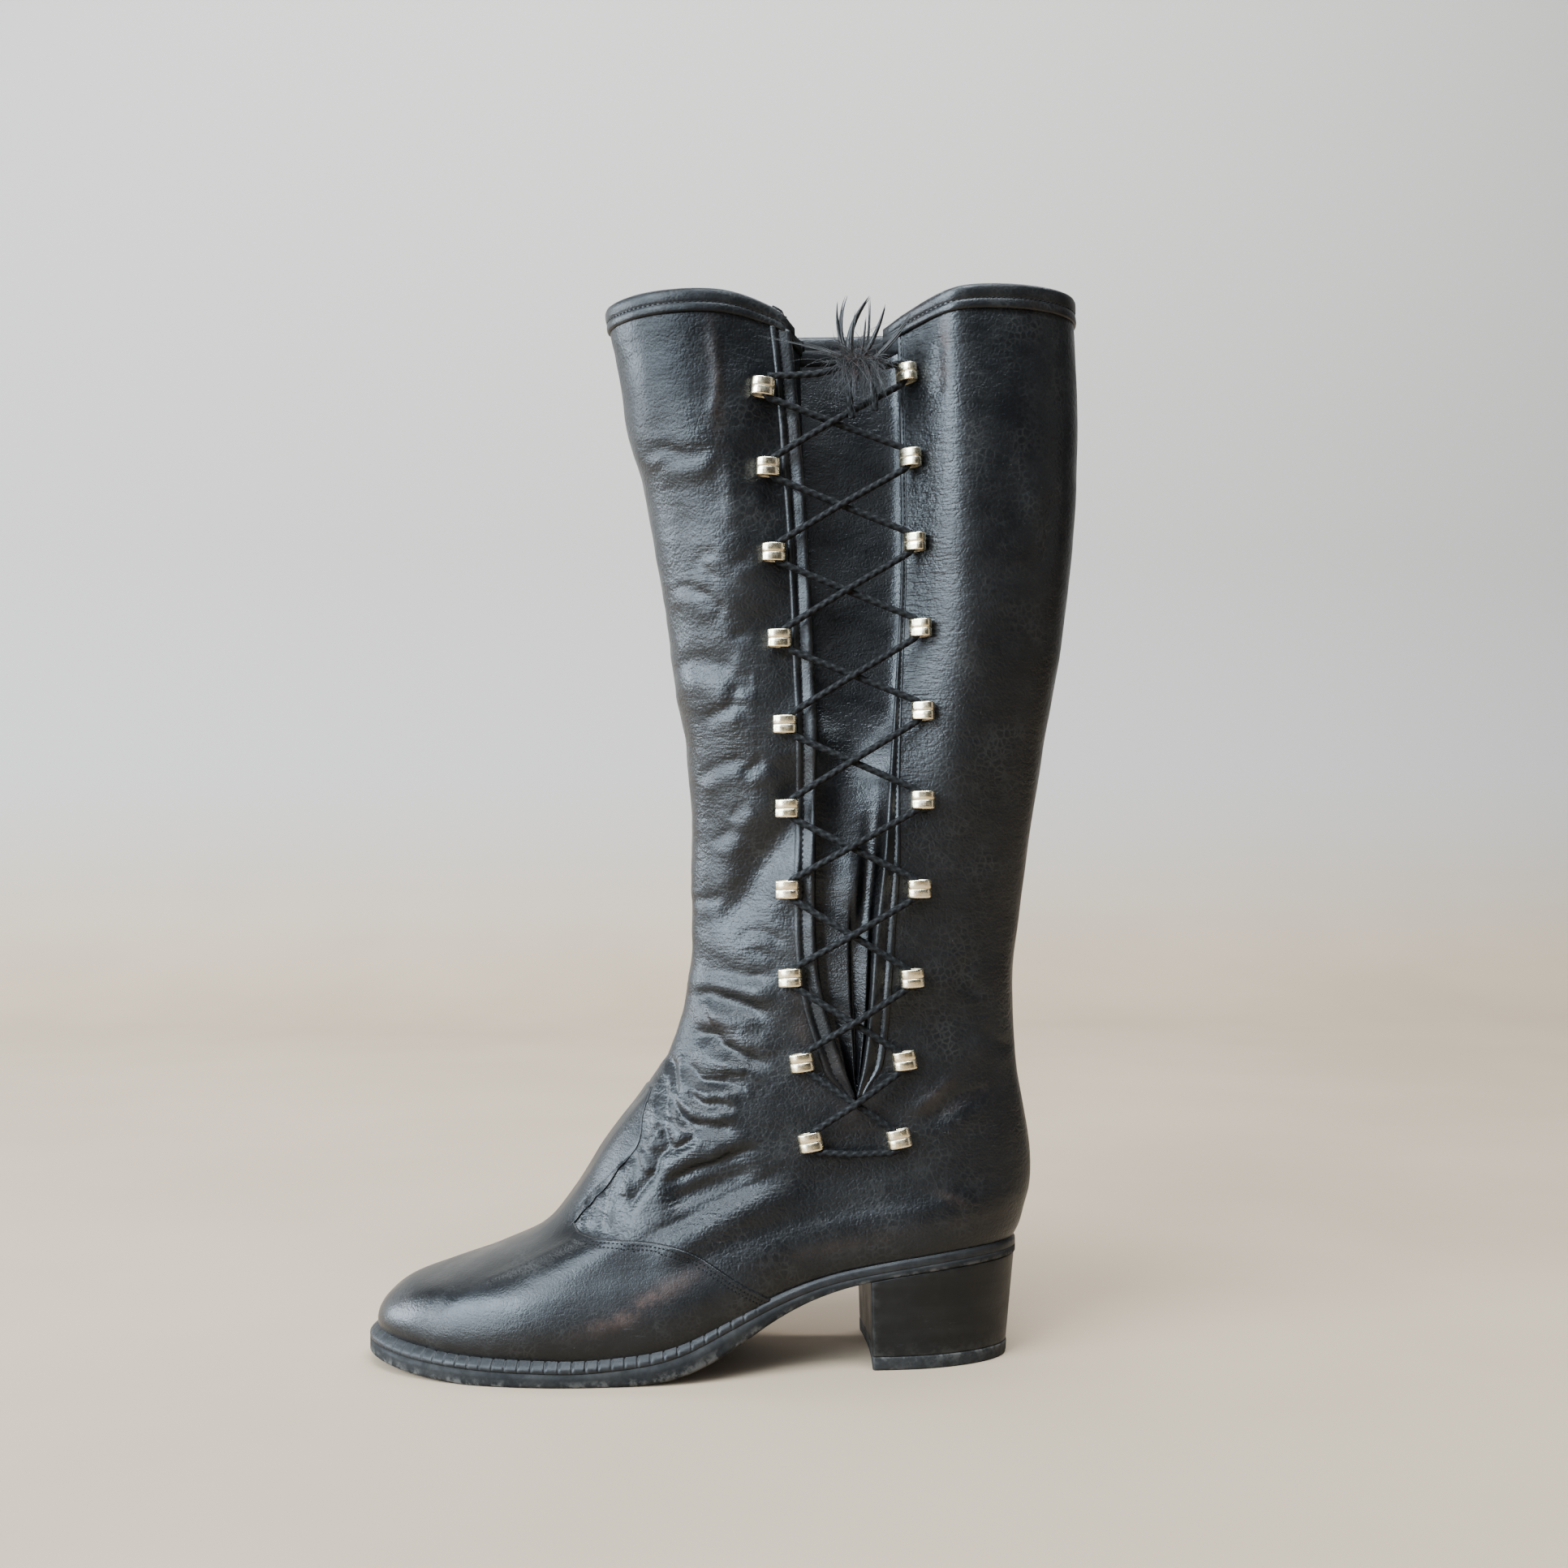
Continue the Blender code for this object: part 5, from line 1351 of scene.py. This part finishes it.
@dataclass
class Sole:
    """Notched welt, outsole, heel block and top lift."""

    welt_thick: float = 2.5
    pitch: float = 4.85
    notch_end: float = 18.0
    breast_x: float = 54.5
    lift_tall: float = 5.0
    gap: float = 0.35
    heel_sides: int = 400

    def welt_top(self, x: Array) -> Array:
        """Height of the welt's upper edge."""
        return table_curve(FEATHER, x) - 2 * self.gap

    def tread(self, x: Array) -> Array:
        """Height of the tread."""
        return np.maximum(table_curve(TREAD, x), 0.0)

    def welt(self) -> None:
        """The welt: a sloping section carried round the sole, cut every few millimetres at the front."""
        fine = np.linspace(0, 2 * math.pi, 3000)
        line = LAST.plan(fine, LAST.edge_width(fine))
        run = run_of(line)
        at = np.linspace(0, run[-1], 1500)[:-1]
        angle = np.interp(at, run, fine)
        notched = ease((self.notch_end - np.interp(at, run, line[:, 0])) / 14)
        phase = (at / self.pitch + 0.06 * np.sin(at / 9)) % 1.0 - 0.5
        cut = notched * bump(phase / 0.05)
        lip = notched * bump((np.abs(phase) - 0.17) / 0.06)
        width = LAST.edge_width(angle)
        # Share of the way out from the upper, height over the edge of the welt, and how deep a cut goes.
        section = np.array([(-0.6, -2.5, 0), (0.6, -2.5, 0), (0.93, -2.5, 0), (1.0, -2.3, 0.2),
                            (1.02, -1.6, 0.6), (1.0, -0.95, 0.9), (0.93, -0.5, 1.0), (0.78, 0.15, 1.0),
                            (0.55, 0.95, 1.0), (0.3, 1.8, 0.8), (0.12, 2.4, 0.3), (-0.1, 2.6, 0),
                            (-0.6, 1.6, 0)])
        share, high, deep = section.T
        offset = width[:, None] * share - 0.6 * cut[:, None] * deep + 0.02 * lip[:, None] * deep
        tall = np.where(high > -0.95, high * np.clip(width / 3.4, 0.35, 1)[:, None], high)
        flat = LAST.plan(np.broadcast_to(angle[:, None], offset.shape), offset)
        z = self.welt_top(LAST.plan(angle, width)[:, 0])[:, None] + tall
        z = z - 0.5 * cut[:, None] * deep + 0.02 * lip[:, None] * deep
        grid = raised(flat, z)
        grid = np.concatenate([grid, grid[:1]])
        edge = np.broadcast_to((0.15 + 0.5 * lip)[:, None] * bump((share - 0.9) / 0.35), offset.shape)
        make_piece("welt_strip", grid, lattice(len(grid), len(section), True), WELT_INK,
                   ("welt",), marks={"edge": np.concatenate([edge, edge[:1]])})

    def outsole(self) -> None:
        """The outsole: cross sections from toe to heel, each with a rounded edge and a flat tread."""
        angle = np.linspace(math.pi - 0.015, 0.02, 190)
        inset = LAST.edge_width(angle)
        out = LAST.plan(angle, inset)
        inn = LAST.plan(2 * math.pi - angle, inset)
        across = np.concatenate([[0.0, 0.0, 0.0, 0.002, 0.010], np.linspace(0.04, 0.96, 14),
                                 [0.990, 0.998, 1, 1, 1]])
        low = np.concatenate([[1.0, 0.6, 0.25, 0.10, 0.0], np.zeros(14), [0.0, 0.10, 0.25, 0.6, 1.0]])
        flat = out[:, None] + (inn - out)[:, None] * across[None, :, None]
        top = self.welt_top(flat[..., 0]) - self.welt_thick - 0.1
        bottom = self.tread(flat[..., 0])
        z = bottom + (top - bottom) * low[None, :]
        grid = closed_ends(raised(flat, z))
        edge = np.broadcast_to(bump((low - 0.1) / 0.2) * (np.abs(across - 0.5) > 0.45), grid.shape[:-1])
        flatness = (grid[..., 2] < 3.0) * np.broadcast_to(np.abs(across - 0.5) < 0.485, grid.shape[:-1])
        make_piece("outsole_slab", grid, lattice(len(grid), len(low), True)[:, ::-1], SOLE_RUBBER,
                   ("outsole",), marks={"edge": edge, "tread": flatness.astype(float)})

    def heel_outline(self, shrink: Array) -> Array:
        """Closed plan of the heel with softened corners, drawn in towards its middle by each shrink."""
        first = float(LAST.outer_angle(np.array(0.0), np.array(self.breast_x)))
        angle = np.linspace(first, -first, 240)
        curve = LAST.plan(angle, LAST.edge_width(angle))
        back = np.linspace(curve[-1], curve[0], 90)[1:-1]
        back[:, 0] += 1.2 * np.sin(np.linspace(0, math.pi, 88))
        ring = np.concatenate([curve, back])
        closed = np.vstack([ring, ring[:1]])
        run = run_of(closed)
        even = read_rows(np.linspace(0, run[-1], self.heel_sides + 1)[:-1], run, closed)
        weight = bump(np.arange(-6, 7) / 2.4)
        weight = weight / weight.sum()
        soft = sum(w * np.roll(even, k, axis=0) for k, w in zip(range(-6, 7), weight))
        shrink = np.asarray(shrink, float)[:, None]
        x = self.breast_x + (soft[:, 0] - self.breast_x) * (1 - shrink) + shrink * 12
        y = LAST.midline + (soft[:, 1] - LAST.midline) * (1 - shrink)
        return np.stack([x, y], axis=-1)

    def heel(self) -> None:
        """Heel block and top lift: the plan carried down, smaller at the foot, with softened edges."""
        share = np.concatenate([[0.0, 0.004, 0.015], np.linspace(0.05, 0.95, 16), [0.985, 0.996, 1.0]])
        inset = np.concatenate([[0.012, 0.003, 0.0], np.zeros(16), [0.0, 0.003, 0.012]])
        flat = self.heel_outline(0.01 + 0.07 * share + inset)
        top = self.tread(flat[..., 0]) - 0.1
        z = top + (self.lift_tall + 0.1 - top) * share[:, None]
        grid = closed_ends(raised(flat, z))
        ends = np.concatenate([[0], share, [1]])[:, None]
        corner = bump((grid[..., 0] - self.breast_x - 1.5) / 1.6) * (np.abs(grid[..., 1] - LAST.midline) > 24)
        edge = np.clip(0.7 * bump((ends - 1) / 0.10) + 0.25 * bump(ends / 0.05) + 0.6 * corner, 0, 1)
        make_piece("heel_block", grid, lattice(*grid.shape[:2], True), HEEL_INK, ("heel",),
                   marks={"edge": edge})
        share = np.array([0.0, 0.05, 0.15, 0.5, 0.8, 0.93, 0.985, 1.0])
        inset = np.array([0.008, 0.002, 0, 0, 0, 0.004, 0.012, 0.026])
        flat = self.heel_outline(0.075 + 0.005 * share + inset)
        z = np.broadcast_to((self.lift_tall * (1 - share))[:, None, None], flat.shape[:2] + (1,))
        grid = closed_ends(np.concatenate([flat, z], axis=-1))
        edge = np.broadcast_to(np.array([0, 0.6, 0.9, 0.5, 0.2, 0.2, 0.5, 0.9, 0.4, 0])[:, None],
                               grid.shape[:2])
        make_piece("top_lift_slab", grid, lattice(*grid.shape[:2], True), LIFT_RUBBER,
                   ("top_lift",), marks={"edge": edge})

    def build(self) -> None:
        """Make the sole's pieces and dress the insole."""
        self.welt()
        self.outsole()
        self.heel()
        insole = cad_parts["insole"]
        insole.data.materials.clear()
        insole.data.materials.append(INSOLE.build())


@dataclass
class LoopPlace:
    """Where one lace loop sits: its centre and its three directions."""

    centre: Array
    back: Array
    inward: Array
    up: Array

    def spot(self, x: float, y: float, z: float) -> Array:
        """A point given along the loop's own directions."""
        return self.centre + x * self.back + y * self.inward + z * self.up


@dataclass
class LaceLoops:
    """Twenty oval metal tubes that stand on the leather beside the slit, each grooved round its middle."""

    wide: float = 9.0
    deep: float = 6.4
    tall: float = 6.8
    clear: float = 0.45
    oval: float = 0.86
    sides: int = 44

    def place(self, index: int, front: bool) -> LoopPlace:
        """Where a loop sits."""
        x, z = LOOPS[index][:2] if front else LOOPS[index][2:]
        here, normal, up, back = LAST.at(LAST.row_of(x, z), x)
        up = np.cross(back, normal) * np.sign(np.cross(back, normal) @ up)
        return LoopPlace(here + (self.deep / 2 + self.clear) * normal, back, np.cross(up, back), up)

    def ring(self) -> tuple[Array, Array]:
        """One loop: a straight wall with rims and a groove round its middle, turned about an oval.

        Returns:
            Points along the loop's own directions, and how hollow each is.
        """
        section = np.array([(-0.60, -3.40), (-0.30, -3.38), (-0.10, -3.26), (-0.01, -3.0), (0.0, -2.6),
                            (0.0, -1.6), (0.0, -0.36), (-0.05, -0.24), (-0.24, -0.15), (-0.28, 0.0),
                            (-0.24, 0.15), (-0.05, 0.24), (0.0, 0.36), (0.0, 1.6), (0.0, 2.6),
                            (-0.01, 3.0), (-0.10, 3.26), (-0.30, 3.38), (-0.60, 3.40), (-0.82, 3.22),
                            (-0.90, 2.7), (-0.95, 0.0), (-0.90, -2.7), (-0.82, -3.22)])
        turn = full_turn(self.sides)
        x = (self.wide / 2 + section[:, :1]) * squared(np.cos(turn), self.oval)
        y = (self.deep / 2 + section[:, :1] * 0.9) * squared(np.sin(turn), self.oval)
        z = np.broadcast_to(section[:, 1:2], x.shape)
        hollow = np.where(np.arange(len(section)) > 18, 0.8, bump(section[:, 1] / 0.18))
        return np.stack([x, y, z], axis=-1), np.broadcast_to(hollow[:, None], x.shape)

    def build(self) -> None:
        """Make the two columns of loops, each with a small foot that holds it to the leather."""
        ring, hollow = self.ring()
        ring = np.concatenate([ring, ring[:1]])
        hollow = np.concatenate([hollow, hollow[:1]])
        quads = lattice(len(ring), self.sides, True)[:, ::-1]
        foot = self.foot()
        pads = lattice(*foot.shape[:2], True)
        for front, column in ((True, "front"), (False, "back")):
            grids, marks = [], []
            for i in range(len(LOOPS)):
                here = self.place(i, front)
                axes = np.stack([here.back, here.inward, here.up])
                grids += [(here.centre + ring @ axes, quads), (here.centre + foot @ axes, pads)]
                marks += [hollow.ravel(), np.full(foot.size // 3, 0.3)]
            points, faces = join_grids(grids)
            names = tuple(f"lace_loop_{column}_{i + 1:02d}" for i in range(len(LOOPS)))
            make_piece(f"lace_loops_{column}", points, faces, NICKEL, names,
                       marks={"hollow": np.concatenate(marks)})

    def foot(self) -> Array:
        """The foot: a rounded pad between loop and leather, a squared oval whose size swells and falls."""
        turn = full_turn(16)
        size = np.array([0.0, 0.8, 1.0, 1.0, 0.95, 0.9, 0.9, 0.8, 0.0])
        y = np.array([2.2, 2.2, 2.35, 2.7, 3.0, 3.3, 3.75, 3.9, 3.9])
        shape = np.stack([2.4 * squared(np.cos(turn), 0.6), 0 * turn, 2.2 * squared(np.sin(turn), 0.6)],
                         axis=-1)
        return size[:, None, None] * shape[None] + y[:, None, None] * np.array([0, 1.0, 0])


@dataclass
class Lace:
    """The braided lace: crossed through all loops, joined across at the foot, knotted at the top."""

    loops: LaceLoops
    radius: float = 1.3
    step: float = 0.42
    sides: int = 16
    repeat: float = 3.7
    pass_by: float = 1.25
    knot_x: float = 51.0
    knot_z: float = 378.0
    # Places of the lace in a loop, from its upper mouth to its lower one.
    inside: tuple = ((1.7, -0.2, 3.6), (0.2, 0.1, 0.0), (1.7, -0.2, -3.6))
    # Ends of the lace: front or not, node, where it enters the knot and where it hangs, both from the knot.
    tails: tuple = (
        (True, "lace_end_front", (-1.5, -1.2, -1.0),
         ((-2.5, -2.6, -6), (-4.0, -2.4, -13), (-3.2, -1.6, -20))),
        (False, "lace_end_back", (1.6, 0.9, -0.6),
         ((3.0, -1.9, -5), (5.2, -2.6, -11), (5.6, -2.0, -17))),
    )

    def braid(self, path: Array) -> tuple[Array, Array, Array]:
        """A cord along a path, its radius raised in slanting lumps left and right of the middle in turn.

        Args:
            path: Even samples of the centre line.

        Returns:
            Closed grid of points, its UV and how deep in a valley each point is; the finish paints the valleys
            darker as shade.
        """
        run = run_of(path)
        _, across, other = tube_frames(path)
        turn = full_turn(self.sides)
        slant = 1.3 * np.abs(turn % math.pi - math.pi / 2)
        lump = np.cos(2 * math.pi * run[:, None] / self.repeat + slant[None, :])
        weave = 0.5 + 0.5 * np.sin(2 * turn)[None, :] * lump
        size = self.radius * (0.80 + 0.34 * weave)
        ring = np.cos(turn)[None, :, None] * across[:, None] + np.sin(turn)[None, :, None] * other[:, None]
        grid = closed_ends(path[:, None] + size[..., None] * ring)
        valley = np.concatenate([weave[:1], weave, weave[-1:]])
        length = np.concatenate([run[:1], run, run[-1:]])
        uv = lattice_uv(np.linspace(0, 1, self.sides + 1), length * MM)
        return grid, uv, 1 - valley

    def cord(self, name: str, path: Array, nodes: tuple) -> bpy.types.Object:
        """Make one stretch of the lace.

        Args:
            name: Name of the piece.
            path: Even samples of the centre line.
            nodes: Solids that it stands for.

        Returns:
            The piece.
        """
        grid, uv, valley = self.braid(path)
        # The valley mark paints shade into the valleys between the braid's lumps.
        return make_piece(name, grid, lattice(len(grid), self.sides, True), CORD, nodes, uv,
                          {"valley": ease((valley - 0.30) / 0.45)})

    def crossing(self, index: int) -> tuple[Array, Array]:
        """The points below a pair of loops where its two strands pass, the rising one in front."""
        drop = self.loops.tall / 2 + 1.7
        a, c = (self.loops.place(index, front).spot(0, 0, -drop) for front in (True, False))
        d, b = (self.loops.place(index + 1, front).spot(0, 0, drop) for front in (True, False))
        first, second = (b - a)[[0, 2]], (d - c)[[0, 2]]
        t, u = np.linalg.solve(np.column_stack([first, -second]), (c - a)[[0, 2]])
        x, z = (a + (b - a) * t)[[0, 2]]
        y = min((a + (b - a) * t)[1], (c + (d - c) * u)[1]) - LACE_BOW[index]
        return np.array([x, y + self.pass_by, z]), np.array([x, y - self.pass_by, z])

    def through(self, index: int, front: bool, downward: bool) -> list:
        """Points of the lace in one loop, drawn towards the slit as it leaves."""
        here = self.loops.place(index, front)
        lean = 1.0 if front else -1.0
        points = [here.spot(x * lean, y, z) for x, y, z in self.inside]
        return points if downward else points[::-1]

    def route(self) -> Array:
        """The threaded route: down from the front loop of the top pair, across the foot, up to the other."""
        last = len(LOOPS) - 1
        points: list = []
        for i in range(last + 1):
            points += self.through(i, i % 2 == 0, True)
            if i < last:
                points.append(self.crossing(i)[0 if i % 2 == 0 else 1])
        ahead, behind = self.loops.place(last, True), self.loops.place(last, False)
        points[-1] = behind.spot(-0.6, -0.2, -3.9)
        points += [behind.spot(-3.6, -0.4, -4.6), (ahead.centre + behind.centre) / 2 - (0, 1.5, 5.0)]
        points += [ahead.spot(3.6, -0.4, -4.6)]
        for i in range(last, -1, -1):
            rising = self.through(i, (last - i) % 2 == 0, False)
            if i == last:
                rising[0] = ahead.spot(0.6, -0.2, -3.9)
            points += rising
            if i > 0:
                points.append(self.crossing(i - 1)[1 if (last - i) % 2 == 0 else 0])
        return np.array(points)

    def knot_centre(self) -> Array:
        """Middle of the knot, between the mouths of the top pair."""
        ends = self.loops.place(0, True).spot(0, 0, 5.1), self.loops.place(0, False).spot(0, 0, 5.1)
        return np.array([self.knot_x, (ends[0][1] + ends[1][1]) / 2, self.knot_z])

    def build_ends(self) -> None:
        """Make knot and ends first: each end runs from its loop through the knot and hangs below it."""
        knot = self.knot_centre()
        t = np.linspace(0, 1, 60)
        turns = 2 * math.pi * 1.9 * t
        coil = np.stack([-2.1 + 4.2 * t, -2.3 * np.cos(turns), 2.2 * np.sin(turns)], axis=1)
        wrap = self.cord("lace_knot_turns", smooth_path(knot + coil, self.step), ("lace_knot",))
        for front, name, near, hang in self.tails:
            mouth = self.loops.place(0, front)
            lean = 1.0 if front else -1.0
            start = mouth.spot(1.5 * lean, -0.2, 4.3)
            middle = (start + knot) / 2 + (0, -0.3, -1.0 if front else -0.6)
            points = [start, middle, knot + near] + [knot + np.array(p) for p in hang]
            path = smooth_path(np.array(points), self.step)
            piece = self.cord(f"{name}_braid", path, (name,))

    def build(self) -> None:
        """Make the threaded lace."""
        nodes = tuple(f"lace_cross_{i:02d}" for i in range(1, len(LOOPS))) + ("lace_bar",)
        self.cord("lace_run", taut_path(self.route(), self.step, 2.4), nodes)


@dataclass
class Tassel:
    """A tuft of dry hair at the knot: pointed blades above it and loose hairs all round."""

    lace: Lace
    hairs: int = 420
    segments: int = 8

    # Blades: root x and z, tip x and z from the knot, sideways bend, width and how far it stands out.
    blades = (
        (-5.6, 5.0, -8.9, 22.8, -1.2, 1.0, -4.0), (-5.2, 5.0, -5.2, 26.0, -2.2, 1.1, -4.6),
        (-4.0, 5.0, 3.8, 26.2, -2.6, 1.7, -4.4), (-3.4, 5.0, -1.6, 20.0, -0.6, 0.9, -5.0),
        (2.3, 4.0, 3.3, 25.6, 0.4, 0.45, -4.2), (1.8, 4.0, 9.1, 21.4, 0.8, 1.3, -4.8),
        (0.0, 4.0, 1.6, 17.0, 0.4, 0.8, -5.2),
        (5.5, 3.0, 19.8, 20.6, 1.2, 0.6, -3.8), (6.0, 3.0, 17.4, 16.4, 1.0, 0.7, -4.2),
        (-5.0, 2.0, -23.4, 6.8, 1.6, 0.35, -3.6), (-5.0, 2.0, -38.0, 10.2, 2.4, 0.28, -3.2),
        (-4.0, 1.0, -16.0, 4.6, 1.2, 0.4, -4.0), (-3.0, 0.0, -9.0, -9.0, 1.2, 0.7, -4.0),
        (-1.0, 0.0, -3.0, -13.0, -0.8, 0.8, -5.0), (2.0, 0.0, 3.6, -12.0, 0.8, 0.8, -4.5),
        (4.0, 0.0, 8.0, -9.0, 1.0, 0.7, -4.0))

    def strands(self, root: Array, tip: Array, bend: Array, width: Array, flat: float) -> tuple[Array, Array]:
        """Tapered strands: each bends sideways on its way from root to tip, and narrows to a point.

        Args:
            root: Start points.
            tip: End points.
            bend: Sideways vector at the middle of each.
            width: Width at the root of each.
            flat: Thickness as a share of width.

        Returns:
            Points and quads of all strands.
        """
        t = np.linspace(0, 1, self.segments + 1)[None, :, None]
        path = root[:, None] + (tip - root)[:, None] * t + bend[:, None] * (4 * t * (1 - t))
        along = unit(np.gradient(path, axis=1))
        across = unit(np.cross(along, np.array([0.05, 1.0, 0.1])))
        out = np.cross(across, along)
        size = (width[:, None] / 2 * (1 - t[0, :, 0][None, :] ** 2.2) + 0.02)[..., None]
        corners = ((1, 0), (0, flat), (-1, 0), (0, -flat))
        ring = np.stack([path + size * (a * across + b * out) for a, b in corners], axis=2)
        one = lattice(self.segments + 1, 4, True)
        count = 4 * (self.segments + 1)
        quads = (one[None] + count * np.arange(len(root))[:, None, None]).reshape(-1, 4)
        return ring.reshape(-1, 3), quads

    def build(self) -> None:
        """Make blades and hairs into one piece."""
        knot = self.lace.knot_centre()
        rng = np.random.default_rng(11)
        rows = np.repeat(np.array(self.blades), 3, axis=0)
        spread = rng.normal(size=(len(rows), 3)) * (0.3, 0.3, 0.9)
        root = knot + np.column_stack([rows[:, 0], np.full(len(rows), -2.6), rows[:, 1]]) + 0.6 * spread
        tip = knot + np.column_stack([rows[:, 2], rows[:, 6] - 1.0, rows[:, 3]]) + spread
        bend = np.column_stack([rows[:, 4], 0 * rows[:, 4], 0.2 * rows[:, 4]])
        blades = self.strands(root, tip, bend, 1.15 * rows[:, 5], 0.3)
        n = self.hairs
        droop = (rng.random(n) < 0.72)[:, None]
        way = rng.normal(size=(n, 3)) * (0.55, 0.3, 0.5)
        way = way + np.where(droop, (0.0, -0.15, -1.0), (-0.5, -0.3, 0.35))
        length = np.where(droop[:, 0], rng.gamma(5.0, 2.3, n).clip(4, 20), rng.gamma(4.0, 2.2, n).clip(4, 18))
        start = knot + rng.normal(size=(n, 3)) * (4.2, 1.0, 1.3) + (-0.5, -2.6, 1.5)
        end = start + unit(way) * length[:, None]
        end[:, 1] = np.minimum(end[:, 1], start[:, 1] + 0.6)
        sag = np.column_stack([rng.normal(size=n) * 1.6, rng.normal(size=n) * 0.5, 0.10 * length])
        hairs = self.strands(start, end, sag, rng.uniform(0.10, 0.24, n), 0.8)
        points, quads = join_grids([blades, hairs])
        near = bump(np.linalg.norm(points - knot - (0, -2.6, 0), axis=1) / 6.0)
        make_piece("tassel_hair", points, quads, TUFT, ("tassel",), marks={"root": near})


@dataclass
class Studio:
    """Plain pale floor that sweeps up behind the boot, soft lights and the camera."""

    eye: tuple = (-0.0078, -0.7163, 0.200)
    lens: float = 42.0
    pitch: float = 91.63
    yaw: float = -2.5

    def camera(self) -> None:
        """Place the camera at the photograph's angle."""
        data = bpy.data.cameras.new("camera")
        data.sensor_width = 36.0
        data.lens = self.lens
        obj = place_object("camera", data)
        obj.location = self.eye
        obj.rotation_euler = (math.radians(self.pitch), 0.0, math.radians(self.yaw))
        bpy.context.scene.camera = obj

    def light(self, name: str, place: tuple, aim: tuple, size: tuple, power: float, colour: tuple) -> None:
        """Hang one soft box.

        Args:
            name: Name of the light.
            place: Where it hangs.
            aim: What it points at.
            size: Width and height.
            power: Watts.
            colour: Its colour.
        """
        data = bpy.data.lights.new(name, "AREA")
        data.shape = "RECTANGLE"
        data.size, data.size_y = size
        data.energy = power
        data.color = colour
        obj = place_object(name, data)
        obj.location = place
        way = unit(np.array(place) - np.array(aim))
        obj.rotation_euler = (math.acos(way[2]), 0.0, math.atan2(way[0], -way[1]))

    def floor(self) -> None:
        """A floor that bends up into a backdrop: a flat run, a quarter turn and a wall, carried across."""
        turn = np.linspace(0, math.pi / 2, 24)
        run = np.concatenate([np.linspace(-3.0, 1.2, 12), 1.2 + 0.6 * np.sin(turn[1:]), [1.8, 1.8]])
        rise = np.concatenate([np.zeros(12), 0.6 * (1 - np.cos(turn[1:])), [1.2, 2.2]])
        across = np.linspace(-3.0, 3.0, 9)
        grid = np.stack(np.broadcast_arrays(across[None, :], run[:, None], rise[:, None]), axis=-1)
        mesh = bpy.data.meshes.new("floor")
        mesh.from_pydata(grid.reshape(-1, 3).tolist(), [], lattice(len(run), 9)[:, ::-1].tolist())
        mesh.polygons.foreach_set("use_smooth", np.ones(len(mesh.polygons), dtype=bool))
        made, nodes, shader, place = Finish("pale_floor").begin()
        tone = nodes.mix(nodes.band(nodes.noise(place, 4.0, 5.0), 0.3, 0.7), (0.285, 0.207, 0.134),
                         (0.312, 0.228, 0.149))
        high = nodes.add("ShaderNodeSeparateXYZ", {"Vector": place}).outputs["Z"]
        nodes.put(shader, "Base Color", nodes.mix(nodes.band(high, 0.0, 0.3), tone, (0.275, 0.247, 0.218)))
        nodes.put(shader, "Roughness", 0.85)
        mesh.materials.append(made)
        obj = place_object("floor", mesh)

    def build(self) -> None:
        """Make camera, lights, floor and the dim surroundings."""
        self.camera()
        self.floor()
        for light in LIGHTS:
            self.light(*light)
        world = bpy.data.worlds.new("studio")
        world.use_nodes = True
        around = world.node_tree.nodes["Background"]
        around.inputs["Color"].default_value = (0.80, 0.84, 0.90, 1)
        around.inputs["Strength"].default_value = 0.05
        bpy.context.scene.world = world


def main() -> None:
    """Build the stage and every piece in order."""
    logging.basicConfig(level=logging.INFO, format="%(name)s: %(message)s")
    build_groups()
    Studio().build()
    loops = LaceLoops()
    lace = Lace(loops)
    lace.build_ends()
    lace.build()
    loops.build()
    Tassel(lace).build()
    Upper().build()
    fine, coarse = Stitches(1.65, 1.15, 0.7, 0.24), Stitches(2.2, 1.6, 0.6, 0.24)
    Vamp().build(fine)
    bindings = Bindings()
    bindings.collar(coarse)
    bindings.slit(True, coarse)
    bindings.slit(False, coarse)
    gusset = Gusset()
    gusset.build()
    bindings.gusset_top(gusset)
    Sole().build()
    fine.piece("vamp_stitches")
    coarse.piece("band_stitches")


if __name__ == "__main__":
    main()
